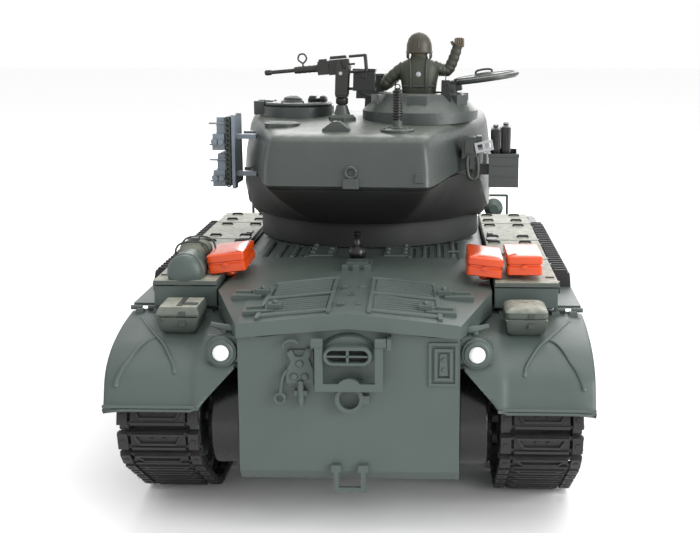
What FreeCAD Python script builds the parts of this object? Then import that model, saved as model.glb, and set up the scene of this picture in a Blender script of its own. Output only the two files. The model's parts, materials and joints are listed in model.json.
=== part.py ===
# Radio-controlled model tank, about one sixteenth of the size of the vehicle it copies.
# Working frame: X across, Y forward from the hull's rear plate, Z up from the ground.
# Every shape is moved by centre_shift before it is written, so that the finished part
# stands on its origin, centred across its width and over its length from tail to muzzle.

import FreeCAD, Part
import math
import os

V = FreeCAD.Vector
os.makedirs("parts", exist_ok=True)

# ---- overall sizes ----
overall_width = 222.0
hull_length = 392.0
muzzle_ahead = hull_length + 133.0
tail_reach = 9.0
deck_height = 109.5
belly_height = 25.4

# ---- clearances ----
gap = 0.3
pin_clearance = 0.05

# ---- hull shell ----
hull_half_width = overall_width / 2 - 61.0
hull_wall = 2.4
fender_top = 95.5
fender_thickness = 1.5
fender_front = hull_length - 47.0
mudguard_hinge = 57.0
deck_half_width = hull_half_width + 16.0
deck_wall = 2.2
lip_overhang = 4.0
deck_lip_side = 99.9
deck_lip_centre = 105.0
lip_bottom_side = 93.5
lip_bottom_centre = 98.0
fold_ahead = 47.0
fold_middle_ahead = 66.0
fold_side = 105.5
fold_middle = 108.5
turret_ahead = hull_length / 2 + 2.5
upper_deck_ahead = turret_ahead - 91.5
floor_front = hull_length - 37.0
glacis_top = hull_length - 48.5
nose_height = 62.0

# ---- running gear ----
track_width = 38.0
track_centre = overall_width / 2 - 4.7 - track_width / 2
pad_width = track_width - 12.4
link_pitch_wanted = 12.0
pin_to_ground = 2.5
pin_to_inner = 2.0
road_wheel_width = 23.0
road_wheel_gap = 3.5
horn_channel = 6.4
horn_top = 5.2
rear_wheel_ahead = 70.0
front_wheel_ahead = hull_length - 82.0
wheel_count = 6
wheel_spacing = (front_wheel_ahead - rear_wheel_ahead) / (wheel_count - 1)
road_wheel_radius = wheel_spacing / 2 - road_wheel_gap
sprocket_ahead = 23.4
sprocket_height = 50.0
sprocket_teeth = 12
sprocket_pitch_radius = 23.3
idler_ahead = hull_length - 40.0
idler_height = 44.5
idler_radius = 18.5
roller_radius = 6.0
roller_count = 5
axle_radius = 3.0
arm_pin_radius = 2.5
arm_length_back = 22.0
arm_drop = 8.7

# ---- turret ----
turret_rest_yaw = -3.2
ring_radius = deck_half_width - 1.5
deck_opening_radius = deck_half_width - 8.0
ring_bore = deck_half_width - 11.0
turret_floor = 124.0
turret_wall = 2.5
roof_rear = 174.5
roof_axis = 182.5
bustle_bottom = 148.0
bustle_length = 112.0
bustle_half_width = 41.75
turret_half_width = 71.5
gun_axis_height = 150.0
trunnion_ahead = 50.0
mantlet_radius = 24.0
mantlet_half_width = 30.0
barrel_radius = 5.4
gun_bore_radius = 3.05
muzzle_radius = 6.6
cupola_x = 32.1
cupola_y = -36.8
cupola_base_radius = 32.0
cupola_top_radius = 23.5
cupola_base = 184.0
cupola_top = 193.5
hatchway_radius = 15.5
seat_height = 174.0
loader_x = -38.4
loader_y = -25.7
loader_radius = 20.5
pedestal_x = -10.1
pedestal_y = -49.1

wheel_axle_height = pin_to_ground + pin_to_inner + gap + road_wheel_radius
half_link_angle = math.pi / sprocket_teeth
centre_shift = V(0, -(muzzle_ahead - tail_reach) / 2.0, 0)
turret_origin = V(0, turret_ahead, 0)
left = -1
right = 1


# ---- building blocks ----
def box(x0, x1, y0, y1, z0, z1):
    low = V(min(x0, x1), min(y0, y1), min(z0, z1))
    return Part.makeBox(abs(x1 - x0), abs(y1 - y0), abs(z1 - z0), low)


def rod(start, end, radius):
    run = V(*end) - V(*start)
    return Part.makeCylinder(radius, run.Length, V(*start), run)


def tube(start, end, outer, inner):
    return rod(start, end, outer).cut(rod(start, end, inner))


def outline(points):
    corners = [V(*p) for p in points]
    return Part.makePolygon(corners + [corners[0]])


def slab_x(points, x0, x1):
    face = Part.Face(outline([(x0, y, z) for y, z in points]))
    return face.extrude(V(x1 - x0, 0, 0))


def slab_y(points, y0, y1):
    face = Part.Face(outline([(x, y0, z) for x, z in points]))
    return face.extrude(V(0, y1 - y0, 0))


def slab_z(points, z0, z1):
    face = Part.Face(outline([(x, y, z0) for x, y in points]))
    return face.extrude(V(0, 0, z1 - z0))


def flat_faces(corners):
    # one flat face, or two where the four corners aren't in one plane
    flat = [corners[0]]
    for c in corners[1:]:
        if (c - flat[-1]).Length > 1e-6 and (c - flat[0]).Length > 1e-6:
            flat.append(c)
    if len(flat) < 3:
        return []
    normal = (flat[1] - flat[0]).cross(flat[2] - flat[0])
    if len(flat) == 3 or abs(normal.normalize().dot(flat[3] - flat[0])) < 1e-7:
        return [Part.Face(Part.makePolygon(flat + [flat[0]]))]
    halves = [[flat[0], flat[1], flat[2]], [flat[0], flat[2], flat[3]]]
    return [Part.Face(Part.makePolygon(h + [h[0]])) for h in halves]


def skin(sections):
    # flat-sided solid through a row of outlines with the same number of corners
    rows = [[V(*p) for p in s] for s in sections]
    faces = [Part.Face(Part.makePolygon(rows[0] + [rows[0][0]])), Part.Face(Part.makePolygon(rows[-1] + [rows[-1][0]]))]
    count = len(rows[0])
    for near, far in zip(rows[:-1], rows[1:]):
        for k in range(count):
            n = (k + 1) % count
            faces += flat_faces([near[k], near[n], far[n], far[k]])
    solid = Part.makeSolid(Part.makeShell(faces))
    if solid.Volume < 0:
        solid.reverse()
    return solid


def spun(points, centre, axis, across):
    # turns an outline of (distance along the axis, radius) about the axis
    along = V(*axis)
    out = V(*across)
    here = V(*centre)
    corners = [here + along * a + out * r for a, r in points]
    face = Part.Face(Part.makePolygon(corners + [corners[0]]))
    return face.revolve(here, along, 360)


def wheel_form(points, side, ahead, height):
    # an outline of (distance out from the track's middle, radius), turned about a cross shaft
    return spun(points, (side * track_centre, ahead, height), (side, 0, 0), (0, 0, 1))


def fuse(shapes):
    whole = shapes[0].multiFuse(shapes[1:]) if len(shapes) > 1 else shapes[0]
    return whole.removeSplitter()


def mirrored(shape):
    return shape.mirror(V(0, 0, 0), V(1, 0, 0))


def turned(shape, centre, axis, angle):
    copy = shape.copy()
    copy.rotate(V(*centre), V(*axis), angle)
    return copy


def both_sides(shape):
    return [shape, mirrored(shape)]


def save(name, shapes):
    solids = []
    for shape in shapes:
        solids += shape.copy().Solids
    whole = Part.makeCompound(solids) if len(solids) > 1 else solids[0]
    whole.translate(centre_shift)
    whole.exportStep("parts/" + name + ".step")
    low = whole.BoundBox
    print(name, len(solids), "solids, volume", round(sum(s.Volume for s in solids), 1),
          "valid", all(s.isValid() for s in solids),
          [round(v, 1) for v in (low.XMin, low.XMax, low.YMin, low.YMax, low.ZMin, low.ZMax)])


def save_turret(name, shapes):
    # turret pieces are drawn about the turret's own axis, facing forward
    placed = []
    for shape in shapes:
        copy = turned(shape, (0, 0, 0), (0, 0, 1), turret_rest_yaw)
        copy.translate(turret_origin)
        placed.append(copy)
    save(name, placed)


# ---- lower hull ----
def glacis_line(height):
    slope = (hull_length - glacis_top) / (deck_height - nose_height)
    return glacis_top + (deck_height - height) * slope


def arm_pivot(index):
    return rear_wheel_ahead + index * wheel_spacing + arm_length_back, wheel_axle_height + arm_drop


def lower_hull():
    plate = 3.6
    seam = lip_bottom_side - gap
    side_profile = [(0, belly_height + 5), (4.5, belly_height), (floor_front, belly_height),
                    (hull_length, nose_height - gap), (glacis_line(nose_height) - plate - gap, nose_height - gap),
                    (glacis_line(seam) - plate - gap, seam), (0, seam)]
    tub = slab_x(side_profile, -hull_half_width, hull_half_width)
    w = hull_wall
    hollow = [(w, belly_height + 6.2), (5.6, belly_height + w), (floor_front - 1.2, belly_height + w),
              (hull_length - 9, nose_height - 4.5), (glacis_line(seam) - plate - w, seam + 1), (w, seam + 1)]
    tub = tub.cut(slab_x(hollow, -hull_half_width + w, hull_half_width - w))
    crest = slab_y([(-hull_half_width + 3, seam - 1), (0, lip_bottom_centre - gap), (hull_half_width - 3, seam - 1)],
                   0, hull_wall)
    extras = [tub, crest]
    for side in (left, right):
        for index in range(wheel_count):
            ahead, height = arm_pivot(index)
            extras.append(rod((side * (hull_half_width - 6), ahead, height),
                              (side * (hull_half_width + 4), ahead, height), 5.0))
    tub = fuse(extras)
    cuts = []
    for side in (left, right):
        for index in range(wheel_count):
            ahead, height = arm_pivot(index)
            cuts.append(rod((side * (hull_half_width - 7), ahead, height),
                            (side * (hull_half_width + 5), ahead, height), arm_pin_radius + pin_clearance))
        cuts.append(rod((side * (hull_half_width - 5), sprocket_ahead, sprocket_height),
                        (side * (hull_half_width + 5), sprocket_ahead, sprocket_height), 6.0))
        cuts.append(rod((side * (hull_half_width - 5), idler_ahead, idler_height),
                        (side * (hull_half_width + 5), idler_ahead, idler_height), 4.0))
        for ahead, height in roller_places():
            cuts.append(rod((side * (hull_half_width - 5), ahead, height),
                            (side * (hull_half_width + 5), ahead, height), 2.0))
    cuts.append(box(-battery_half_width, battery_half_width, battery_rear, battery_front,
                    belly_height - 1, belly_height + hull_wall + 1))
    cuts.append(box(-3.2, 3.2, switch_ahead - 7, switch_ahead + 7, belly_height - 1, belly_height + hull_wall + 1))
    for x, y in hull_screw_places():
        cuts.append(rod((x, y, belly_height - 1), (x, y, belly_height + hull_wall + 1), 1.7))
    for shape in cuts:
        tub = tub.cut(shape)
    return tub


battery_half_width = 26.0
battery_rear = hull_length / 2 - 76.0
battery_front = battery_rear + 120.0
board_rear = battery_rear + 26.0
switch_ahead = floor_front - 49.0


def hull_screw_places():
    return [(sx * 41.0, y) for sx in (left, right) for y in (22.0, battery_rear - 10.0, battery_front + 10.0, floor_front - 15.0)]


def battery_cover():
    flange = 3.0
    t = 1.6
    plate = box(-battery_half_width - flange, battery_half_width + flange, battery_rear - flange,
                battery_front + flange, belly_height - t, belly_height - 0.05)
    plug = box(-battery_half_width + gap, battery_half_width - gap, battery_rear + gap,
               battery_front - gap, belly_height - 0.1, belly_height + hull_wall)
    plug = plug.cut(box(-battery_half_width + 2.2, battery_half_width - 2.2, battery_rear + 2.2,
                        battery_front - 2.2, belly_height - 0.05, belly_height + 9))
    return [fuse([plate, plug])]


def battery_pack():
    cells = []
    floor = belly_height + hull_wall + 0.4
    for row in range(2):
        for column in range(3):
            x = -17.4 + 17.4 * column
            y = battery_rear + 8 + row * 53.0
            cells.append(rod((x, y, floor + 8.6), (x, y + 50.0, floor + 8.6), 8.5))
    return cells


def electronics():
    floor = belly_height + hull_wall
    base = floor + 24.0
    back = board_rear
    board = box(-30, 30, back + 4, back + 86, base, base + 1.6)
    posts = [rod((x, y, floor), (x, y, base), 1.8) for x in (-38, 38) for y in (back + 6, back + 84)]
    shelf = box(-42, 42, back, back + 90, base - 1.2, base - 0.02)
    shelf = fuse([shelf] + posts)
    parts = [board, shelf]
    parts += [box(-24, -8, back + 14, back + 30, base + 1.65, base + 4.0), box(4, 22, back + 12, back + 26, base + 1.65, base + 5.5)]
    parts += [rod((x, back + 59, base + 1.65), (x, back + 59, base + 10), 3.2) for x in (-18, -9, 9, 18)]
    speaker = spun([(0, 0), (0, 18), (3, 20), (6, 20), (6, 10), (14, 9), (14, 0)],
                   (-(hull_half_width - 24.0), battery_front + 22.5, floor + 0.02),
                   (0, 0, 1), (1, 0, 0))
    smoke = fuse([box(-11, 11, 30, 60, 63.02, 88), rod((0, 4.0, 86), (0, 34.0, 79), 3.0)])
    return parts + [speaker, smoke]


def drive_units():
    units = []
    for side in (left, right):
        x_in = side * 9.0
        x_out = side * (hull_half_width - hull_wall - 1.0)
        housing = box(x_in, x_out, 8, 40, belly_height + hull_wall + 0.02, 63)
        motor = rod((side * 26, 40.0, 46), (side * 26, 78.0, 46), 11.0)
        boss = rod((x_out - side, sprocket_ahead, sprocket_height),
                   (side * hull_half_width, sprocket_ahead, sprocket_height), 5.7)
        housing = fuse([housing, motor, boss])
        units.append(housing)
    return units


def final_drives():
    parts = []
    for side in (left, right):
        x0 = side * (hull_half_width + 0.02)
        x1 = side * (hull_half_width + 15.0)
        body = spun([(0, 0), (0, 22.5), (12.4, 22.5), (14.9, 20.0), (14.9, 0)],
                    (x0, sprocket_ahead, sprocket_height), (side, 0, 0), (0, 0, 1))
        bore = rod((x0 + side * 1.5, sprocket_ahead, sprocket_height),
                   (x1 + side, sprocket_ahead, sprocket_height), axle_radius + pin_clearance)
        parts.append(body.cut(bore))
    return parts


# ---- upper hull ----
def deck_sections(inset, drop):
    # rear lip, curved fold where the engine deck turns up, and flat upper deck; each row is (across, height)
    lip_half = hull_half_width - inset
    deck_half = deck_half_width - inset
    fold_half = hull_half_width
    crown_half = hull_half_width - 24.0
    foot = lip_bottom_side
    foot_mid = lip_bottom_centre
    if drop > 0:
        foot = lip_bottom_side - 4
        foot_mid = foot
    rear = -lip_overhang + inset

    def row(ahead, middle_ahead, half, edge, shoulder, crown, middle, foot_middle):
        # edge, shoulder and crown are (across, height), and the middle of the fold lies further ahead
        right_side = [(middle[0], middle_ahead, middle[1]), (crown[0], (ahead + 3 * middle_ahead) / 4, crown[1]),
                      (shoulder[0], ahead, shoulder[1]), (edge[0], ahead, edge[1]), (half, ahead, foot)]
        top = [(x, y, z if z == foot else z - drop) for x, y, z in right_side]
        return [(-x, y, z) for x, y, z in top[:0:-1]] + top + [(0, ahead, foot_middle)]

    lip_crown = deck_lip_side + (deck_lip_centre - deck_lip_side) * (1 - crown_half / (lip_half - 1))
    return [row(rear, rear, lip_half, (lip_half, deck_lip_side - 0.7), (lip_half - 1, deck_lip_side),
                (crown_half, lip_crown), (0, deck_lip_centre), foot_mid),
            row(fold_ahead, fold_middle_ahead, deck_half, (deck_half, fold_side - 1.0), (fold_half, fold_side),
                (crown_half, fold_side + 2.1), (0, fold_middle), foot),
            row(upper_deck_ahead, upper_deck_ahead, deck_half, (deck_half, deck_height - 4.5),
                (deck_half_width - 10.0, deck_height), (crown_half, deck_height), (0, deck_height), foot),
            row(fender_front - inset, fender_front - inset, deck_half, (deck_half, deck_height - 4.5),
                (deck_half_width - 10.0, deck_height), (crown_half, deck_height), (0, deck_height), foot)]


def front_block(inset, drop, half_width):
    plate = 3.6
    foot = lip_bottom_side
    if drop > 0:
        back = glacis_top - 44.5
        profile = [(back, foot - 1), (back, deck_height - drop),
                   (glacis_line(deck_height - drop) - plate, deck_height - drop),
                   (glacis_line(foot - 1) - plate, foot - 1)]
    else:
        back = glacis_top - 43.5
        profile = [(back, foot), (back, deck_height), (glacis_top, deck_height), (hull_length, nose_height),
                   (hull_length - plate, nose_height), (glacis_line(foot) - plate, foot)]
    return slab_x(profile, -half_width + inset, half_width - inset)


def upper_hull():
    outer = skin(deck_sections(0.0, 0.0)).fuse(front_block(0, 0, hull_half_width))
    for side in (left, right):
        wing = box(side * (deck_half_width - 2), side * (overall_width / 2 - 1.0), mudguard_hinge + 1.0,
                   fender_front, fender_top - fender_thickness, fender_top)
        outer = outer.fuse(wing)
    inner = skin(deck_sections(deck_wall, deck_wall))
    body = outer.cut(inner).cut(front_block(deck_wall, deck_wall, hull_half_width))
    body = body.cut(rod((0, turret_ahead, 90), (0, turret_ahead, 130), deck_opening_radius))
    for shape in deck_cuts():
        body = body.cut(shape)
    return body.removeSplitter()


def deck_cuts():
    # four drain grooves each side of the upper deck, running forward to the turret ring
    cuts = []
    for side in (left, right):
        for index in range(4):
            across = 27.5 + index * 7.6
            ring_edge = turret_ahead - math.sqrt(ring_radius ** 2 - across ** 2)
            cuts.append(box(side * across - 0.8, side * across + 0.8, upper_deck_ahead + 1.0, ring_edge - 1.5,
                            deck_height - 0.9, deck_height + 1))
    return cuts


def hull_hatches():
    lids = []
    for side in (left, right):
        y = glacis_top - 37.5
        lid = slab_z(rounded_box(side * 28.0, y, 15.0, 11.0, 4.0), deck_height + 0.02, deck_height + 2.2)
        scope = box(side * 28 - 5, side * 28 + 5, y + 3, y + 9, deck_height + 2.2, deck_height + 6.0)
        lids.append(fuse([lid, scope]))
    return lids


def rounded_box(cx, cy, hx, hy, r, steps=4):
    points = []
    for sx, sy, start in ((1, 1, 0), (-1, 1, 90), (-1, -1, 180), (1, -1, 270)):
        for k in range(steps + 1):
            a = math.radians(start + 90.0 * k / steps)
            points.append((cx + sx * (hx - r) + r * math.cos(a), cy + sy * (hy - r) + r * math.sin(a)))
    return points


# ---- mudguards ----
mudguard_profile = [(57.8, 93.45), (55.0, 93.3), (40.0, 91.8), (27.0, 89.5), (15.9, 86.6), (8.0, 83.2), (2.0, 79.2),
                    (-2.0, 74.5), (-4.2, 69.5), (-5.6, 64.8), (-6.4, 62.8), (-8.0, 62.2)]


def offset_line(points, distance):
    moved = []
    for i, (y, z) in enumerate(points):
        y0, z0 = points[max(i - 1, 0)]
        y1, z1 = points[min(i + 1, len(points) - 1)]
        length = math.hypot(y1 - y0, z1 - z0)
        moved.append((y + (z0 - z1) / length * distance, z + (y1 - y0) / length * distance))
    return moved


def rear_mudguard(side):
    inner_line = offset_line(mudguard_profile, fender_thickness)
    sheet = slab_x(mudguard_profile + inner_line[::-1], side * (hull_half_width + 0.5), side * overall_width / 2)
    w = hull_half_width
    flap_cut = slab_y([(side * (w - 1), 40.0), (side * (w - 1), 78.6), (side * (w + 0.5), 80.1),
                       (side * (w + 16.3), 62.9), (side * (w + 17.5), 60.0), (side * (w + 17.5), 40.0)], -20, 70)
    sheet = sheet.cut(flap_cut)
    knuckles = [rod((side * (hull_half_width + x), mudguard_hinge - 2.6, 94.1),
                    (side * (hull_half_width + x + 5), mudguard_hinge - 2.6, 94.1), 1.3) for x in (21.0, 34.0, 50.0)]
    return fuse([sheet] + knuckles)


def front_mudguard(side):
    nose = [(fender_front + a, z) for a, z in ((0.3, 95.4), (17.0, 94.0), (29.0, 89.5), (37.0, 82.5), (41.5, 74.0),
                                               (43.0, 66.0))]
    inner_line = offset_line(nose, -fender_thickness)
    return slab_x(nose + inner_line[::-1], side * (deck_half_width + 1), side * (overall_width / 2 - 1.0))


# ---- boxes and links carried on the fenders ----
box_inner = deck_half_width + 1.0
box_outer = overall_width / 2 - 12.7
box_top = 108.6
lockers_rear = 49.6
lockers_front = fender_front - 70.0


def fender_boxes():
    parts = []
    for side in (left, right):
        for start, end in ((0.0, 0.278), (0.278, 0.545), (0.545, 0.818), (0.818, 1.0)):
            y0 = lockers_rear + (lockers_front - lockers_rear) * start + gap
            y1 = lockers_rear + (lockers_front - lockers_rear) * end - gap
            rear = max(y0, mudguard_hinge + 1.5)
            locker = box(side * (box_inner + 0.2), side * box_outer, rear, y1, fender_top + 0.02, box_top - 2.4)
            lid = box(side * (box_inner + 0.2), side * (box_outer + 0.4), y0, y1, box_top - 2.38, box_top)
            if y0 < mudguard_hinge:
                apron = box(side * (box_inner + 0.2), side * box_outer, y0, rear, fender_top + 1.2, box_top - 2.4)
                locker = locker.fuse(apron).removeSplitter()
            parts += [locker, lid]
    return parts + mud_boxes() + [canister()] + tarpaulin_roll()


def mud_boxes():
    # one box with a flat lid on the left mudguard, one with a puffed lid on the right
    floor = 90.6
    middle = overall_width / 2 - 30.0

    def level(side, half, rear, front, height, front_height):
        inner, outer = side * (middle - half), side * (middle + half)
        return [(inner, rear, height), (outer, rear, height), (outer, front, front_height), (inner, front, front_height)]

    left_base = skin([level(left, 8.5, 22.5, 43.0, floor, floor + 1.4), level(left, 10.0, 20.6, 44.6, 97.2, 97.2)])
    left_lid = skin([level(left, 10.2, 20.2, 44.9, 97.25, 97.25), level(left, 8.4, 23.4, 43.8, 101.4, 101.4)])
    right_base = skin([level(right, 8.0, 23.0, 42.6, floor, floor + 1.4), level(right, 10.1, 20.6, 44.9, 95.6, 95.6)])
    right_lid = skin([level(right, 10.1, 20.4, 44.9, 96.3, 96.3), level(right, 7.8, 24.5, 44.0, 102.0, 102.0)])
    return [left_base.cut(mudguard_space(left)), left_lid, right_base.cut(mudguard_space(right)), right_lid]


def canister():
    radius = 8.8
    x = -(box_inner + 16.6)
    z = box_top + 5.0
    back = 50.0
    front = 72.0
    body = rod((x, back + 3.0, z), (x, front, z), radius)
    cap = spun([(0, 0), (0, radius - 2.8), (1.2, radius - 0.8), (3.0, radius), (3.2, 0)], (x, back, z), (0, 1, 0),
               (0, 0, 1))
    return fuse([body, cap]).cut(box(x - 20, x + 20, back - 10, front + 10, box_top - 20, box_top + 0.02))


def tarpaulin_roll():
    middle = -(box_inner + 17.5)
    roll = skin([[(middle - 7.5, y, box_top + 0.02), (middle + 7.5, y, box_top + 0.02), (middle + 5.9, y, top),
                  (middle - 5.9, y, top)] for y, top in ((72.6, box_top + 13.0), (104.0, box_top + 15.0))])
    return [roll]


def fender_track_links():
    # spare track links standing in racks along the outer edge of each fender
    parts = []
    for side in (left, right):
        x0 = side * (box_outer + 0.8)
        x1 = side * (overall_width / 2 - 1.0)
        tray_rear = lockers_rear + 54.4
        tray_long = lockers_front - 3.0 - tray_rear
        tray = box(x0, x1, tray_rear, tray_rear + tray_long, fender_top + 0.02, fender_top + 4.6)
        parts.append(tray)
        count = int(tray_long / 12.9)
        step = tray_long / count
        for k in range(count):
            y = tray_rear + k * step
            pad = box(x0, x1, y + 0.6, y + step - 0.6, fender_top + 4.65, fender_top + 7.4)
            bar = box(x0 + side * 2.0, x1 - side * 2.0, y + 2.6, y + 5.4, fender_top + 7.3, fender_top + 8.6)
            parts.append(pad.fuse(bar))
    return parts


def orange_boxes():
    # stowed boxes on short stems: the two inner ones lean outwards, the outermost lies level
    deep = 38.0
    tall = 9.5
    top = box_top + 11.9
    deck = skin(deck_sections(0.0, 0.0))
    parts = []
    for side, inner, wide, rear, lean in ((left, deck_half_width - 11.0, 19.2, 62.0, 6.5),
                                          (right, deck_half_width - 12.0, 18.0, 55.0, 6.5),
                                          (right, deck_half_width + 7.2, 17.8, 54.0, 0.0)):
        outer = inner + wide
        taper = 0.8
        block = slab_y([(side * (inner + taper), top), (side * (outer - taper), top), (side * outer, top - tall),
                        (side * inner, top - tall)], rear, rear + deep)
        block = turned(block, (side * inner, 0, top - tall), (0, 1, 0), side * lean)
        x = side * (inner + 8.0)
        stem = rod((x, rear + 16.0, box_top - 6), (x, rear + 16.0, top - tall + 1), 3.0).cut(deck)
        lids = box(side * box_inner, side * (box_outer + 1), 40, 120, 90, box_top + 0.02)
        parts.append(fuse([block, stem.cut(lids)]))
    return parts


# ---- fittings on the hull ----
lamp_x = hull_half_width + 7.6
lamp_height = 85.5


def lamp_lenses():
    parts = []
    for side in (left, right):
        x = side * lamp_x
        parts.append(spun([(-4.4, 0), (-3.6, 2.6), (-2.2, 3.6), (0.6, 3.6), (0.6, 0)], (x, 4.0, lamp_height),
                          (0, 1, 0), (0, 0, 1)))
        parts.append(spun([(-0.2, 0), (-0.2, 5.4), (1.6, 5.4), (4.4, 0)], (side * (box_inner + 13.0), fender_front - 8.6, 104.0),
                          (0, 1, 0), (0, 0, 1)))
    return parts


def hull_fittings():
    parts = []
    for side in (left, right):
        x = side * lamp_x
        ring = tube((x, 1.2, lamp_height), (x, 4.9, lamp_height), 6.4, 3.7)
        back = box(x - 6.2, x + 7.2, 4.9, 6.0, lamp_height - 7.0, lamp_height + 7.0)
        guard = offset_block(side)
        parts.append(fuse([ring, back]).cut(guard))
        lever = fuse([rod((side * (lamp_x - 4.1), 8.0, 95.2), (side * (lamp_x + 4.9), 10.0, 96.4), 1.5),
                      rod((side * (lamp_x - 3.6), 8.0, 92.9), (side * (lamp_x - 3.6), 8.0, 95.6), 1.6)])
        parts.append(lever.cut(guard))
        parts.append(headlamp(side))
    parts += rear_plate_fittings() + deck_aerial() + bow_gun()
    return parts


def mudguard_space(side):
    # everything under the mudguard's upper face, so that what sits on it is cut to its curve
    outer = [(y, z + 0.03) for y, z in mudguard_profile[1:]]
    return slab_x(outer + [(-6.0, 40.0), (mudguard_profile[1][0], 40.0)], side * hull_half_width,
                  side * overall_width / 2)


def offset_block(side):
    return mudguard_space(side).fuse(skin(deck_sections(0.0, 0.0)))


def headlamp(side):
    x = side * (box_inner + 13.0)
    y = fender_front - 9.0
    z = 104.0
    bowl = spun([(-9, 0), (-9, 3.0), (-4, 6.6), (0, 6.6), (0, 5.7), (-3.6, 5.7), (-7.6, 2.4), (-7.6, 0)], (x, y, z),
                (0, 1, 0), (0, 0, 1))
    stem = rod((x, y - 4.5, fender_top + 0.02), (x, y - 4.5, z - 6.0), 2.0)
    hoop = fuse([rod((x - 9.6, y - 1, fender_top + 0.02), (x - 9.6, y - 1, z + 9), 0.9),
                 rod((x + 9.6, y - 1, fender_top + 0.02), (x + 9.6, y - 1, z + 9), 0.9),
                 rod((x - 9.6, y - 1, z + 8.6), (x + 9.6, y - 1, z + 8.6), 0.9)])
    return Part.makeCompound([fuse([bowl, stem]), hoop])


def rear_plate_fittings():
    parts = []
    # exhaust outlet hood with its oval mouth
    hood = spun_hood()
    parts.append(hood)
    # towing pintle: back plate, jaw ring and latch
    ring = tube((0.5, -4.8, 65.7), (0.5, -1.4, 65.7), 6.4, 4.6)
    neck = box(-2.6, 3.6, -4.6, -0.02, 70.6, 73.4)
    back = box(-5.5, 6.5, -1.3, -0.02, 71.0, 74.0)
    clip = box(6.5, 9.4, -4.6, -0.02, 63.6, 67.4)
    parts.append(fuse([ring, neck, back, clip]))
    # tool bracket with two hooks
    plate = box(-26.0, -16.0, -1.4, -0.02, 71.3, 89.4)
    hooks = [box(-24.6, -22.2, -3.4, -1.3, 76.0, 88.0), box(-19.8, -17.4, -3.4, -1.3, 74.0, 86.0)]
    can = rod((-21.0, -3.4, 62.7), (-21.0, -3.4, 71.5), 2.6)
    can_back = box(-23.6, -18.4, -3.4, -0.02, 63.2, 71.5)
    parts.append(fuse([plate, can, can_back] + hooks))
    # raised double frame
    frame = box(35.7, 49.1, -1.2, -0.02, 70.7, 91.1).cut(box(38.0, 46.8, -3, 1, 73.0, 88.8))
    panel = box(39.6, 45.2, -1.0, -0.02, 74.6, 87.2)
    parts += [frame, panel]
    # lifting handle under the rear plate
    handle = fuse([box(-6.8, -4.7, -2.6, -0.5, 21.3, 32.0), box(5.4, 7.5, -2.6, -0.5, 21.3, 32.0),
                   box(-6.8, 7.5, -2.6, -0.5, 21.3, 23.4), box(-8.0, -3.6, -2.6, -0.02, 30.6, 34.0),
                   box(4.2, 8.8, -2.6, -0.02, 30.6, 34.0)])
    parts.append(handle)
    # lugs and pins that carry the gun crutch
    for x_lug, x_pin in ((-18.2, -11.3), (19.3, 12.4)):
        step = 1.7 if x_lug < 0 else -1.7
        lug = box(x_lug, x_lug + step, -9.0, -0.02, 89.6, 94.4)
        parts.append(fuse([lug, rod((x_lug + step / 2, -6.6, 92.0), (x_pin, -6.6, 92.0), 1.0)]))
    return parts


def spun_hood():
    outer = slab_y([(-12.6, 79.5), (-13.6, 83.0), (-13.6, 89.0), (-11.6, 93.0), (-7.0, 95.6), (7.0, 95.6),
                    (11.6, 93.0), (13.6, 89.0), (13.6, 83.0), (12.6, 79.5)], -4.05, -0.02)
    mouth_block = slab_y([(-10.7, 83.0), (-10.7, 89.0), (-8.5, 91.5), (8.5, 91.5), (10.7, 89.0), (10.7, 83.0),
                          (9.0, 81.0), (-9.0, 81.0)], -tail_reach, -4.0)
    hood = outer.fuse(mouth_block)
    hood = hood.cut(slab_y([(-9.0, 83.6), (-9.0, 88.2), (-7.6, 89.6), (7.6, 89.6), (9.0, 88.2), (9.0, 83.6)],
                           -tail_reach - 1, -3.0))
    divider = box(-9.1, 9.1, -tail_reach + 0.6, -2.9, 86.0, 87.0)
    return hood.fuse(divider).removeSplitter()


def deck_aerial():
    # aerial on the deck's middle line, and a bent wire stop beside the right-hand box
    y = upper_deck_ahead - 3.0
    across = hull_half_width + 1.0
    stop = fuse([rod((across, y, deck_height + 0.02), (across, y, deck_height + 4.4), 0.7),
                 rod((across + 0.6, y, deck_height + 4.0), (across - 5.4, y, deck_height + 4.0), 0.7)])
    base = spun([(0, 0), (0, 4.4), (1.6, 5.0), (5.0, 4.2), (7.2, 1.4), (24.0, 0.8), (24.0, 0)],
                (-2.0, y, deck_height + 0.02), (0, 0, 1), (1, 0, 0))
    return [base, stop]


def bow_gun():
    ball_y = glacis_line(86.0)
    ball = Part.makeSphere(8.0, V(-26.0, ball_y + 0.5, 86.0))
    barrel = rod((-26.0, ball_y + 4.0, 86.0), (-26.0, ball_y + 24.0, 86.0), 1.6)
    shield = front_block(0, 0, hull_half_width).fuse(box(-60, 60, glacis_top - 63.5, glacis_line(93.5) - 3, 60, 110))
    back = glacis_top - 43.5
    below = slab_x([(back, 50), (hull_length, 50), (hull_length + 0.02, nose_height), (glacis_top + 0.02, deck_height),
                    (back, deck_height)], -60, 60)
    return [fuse([ball, barrel]).cut(shield).cut(below)]


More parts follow.
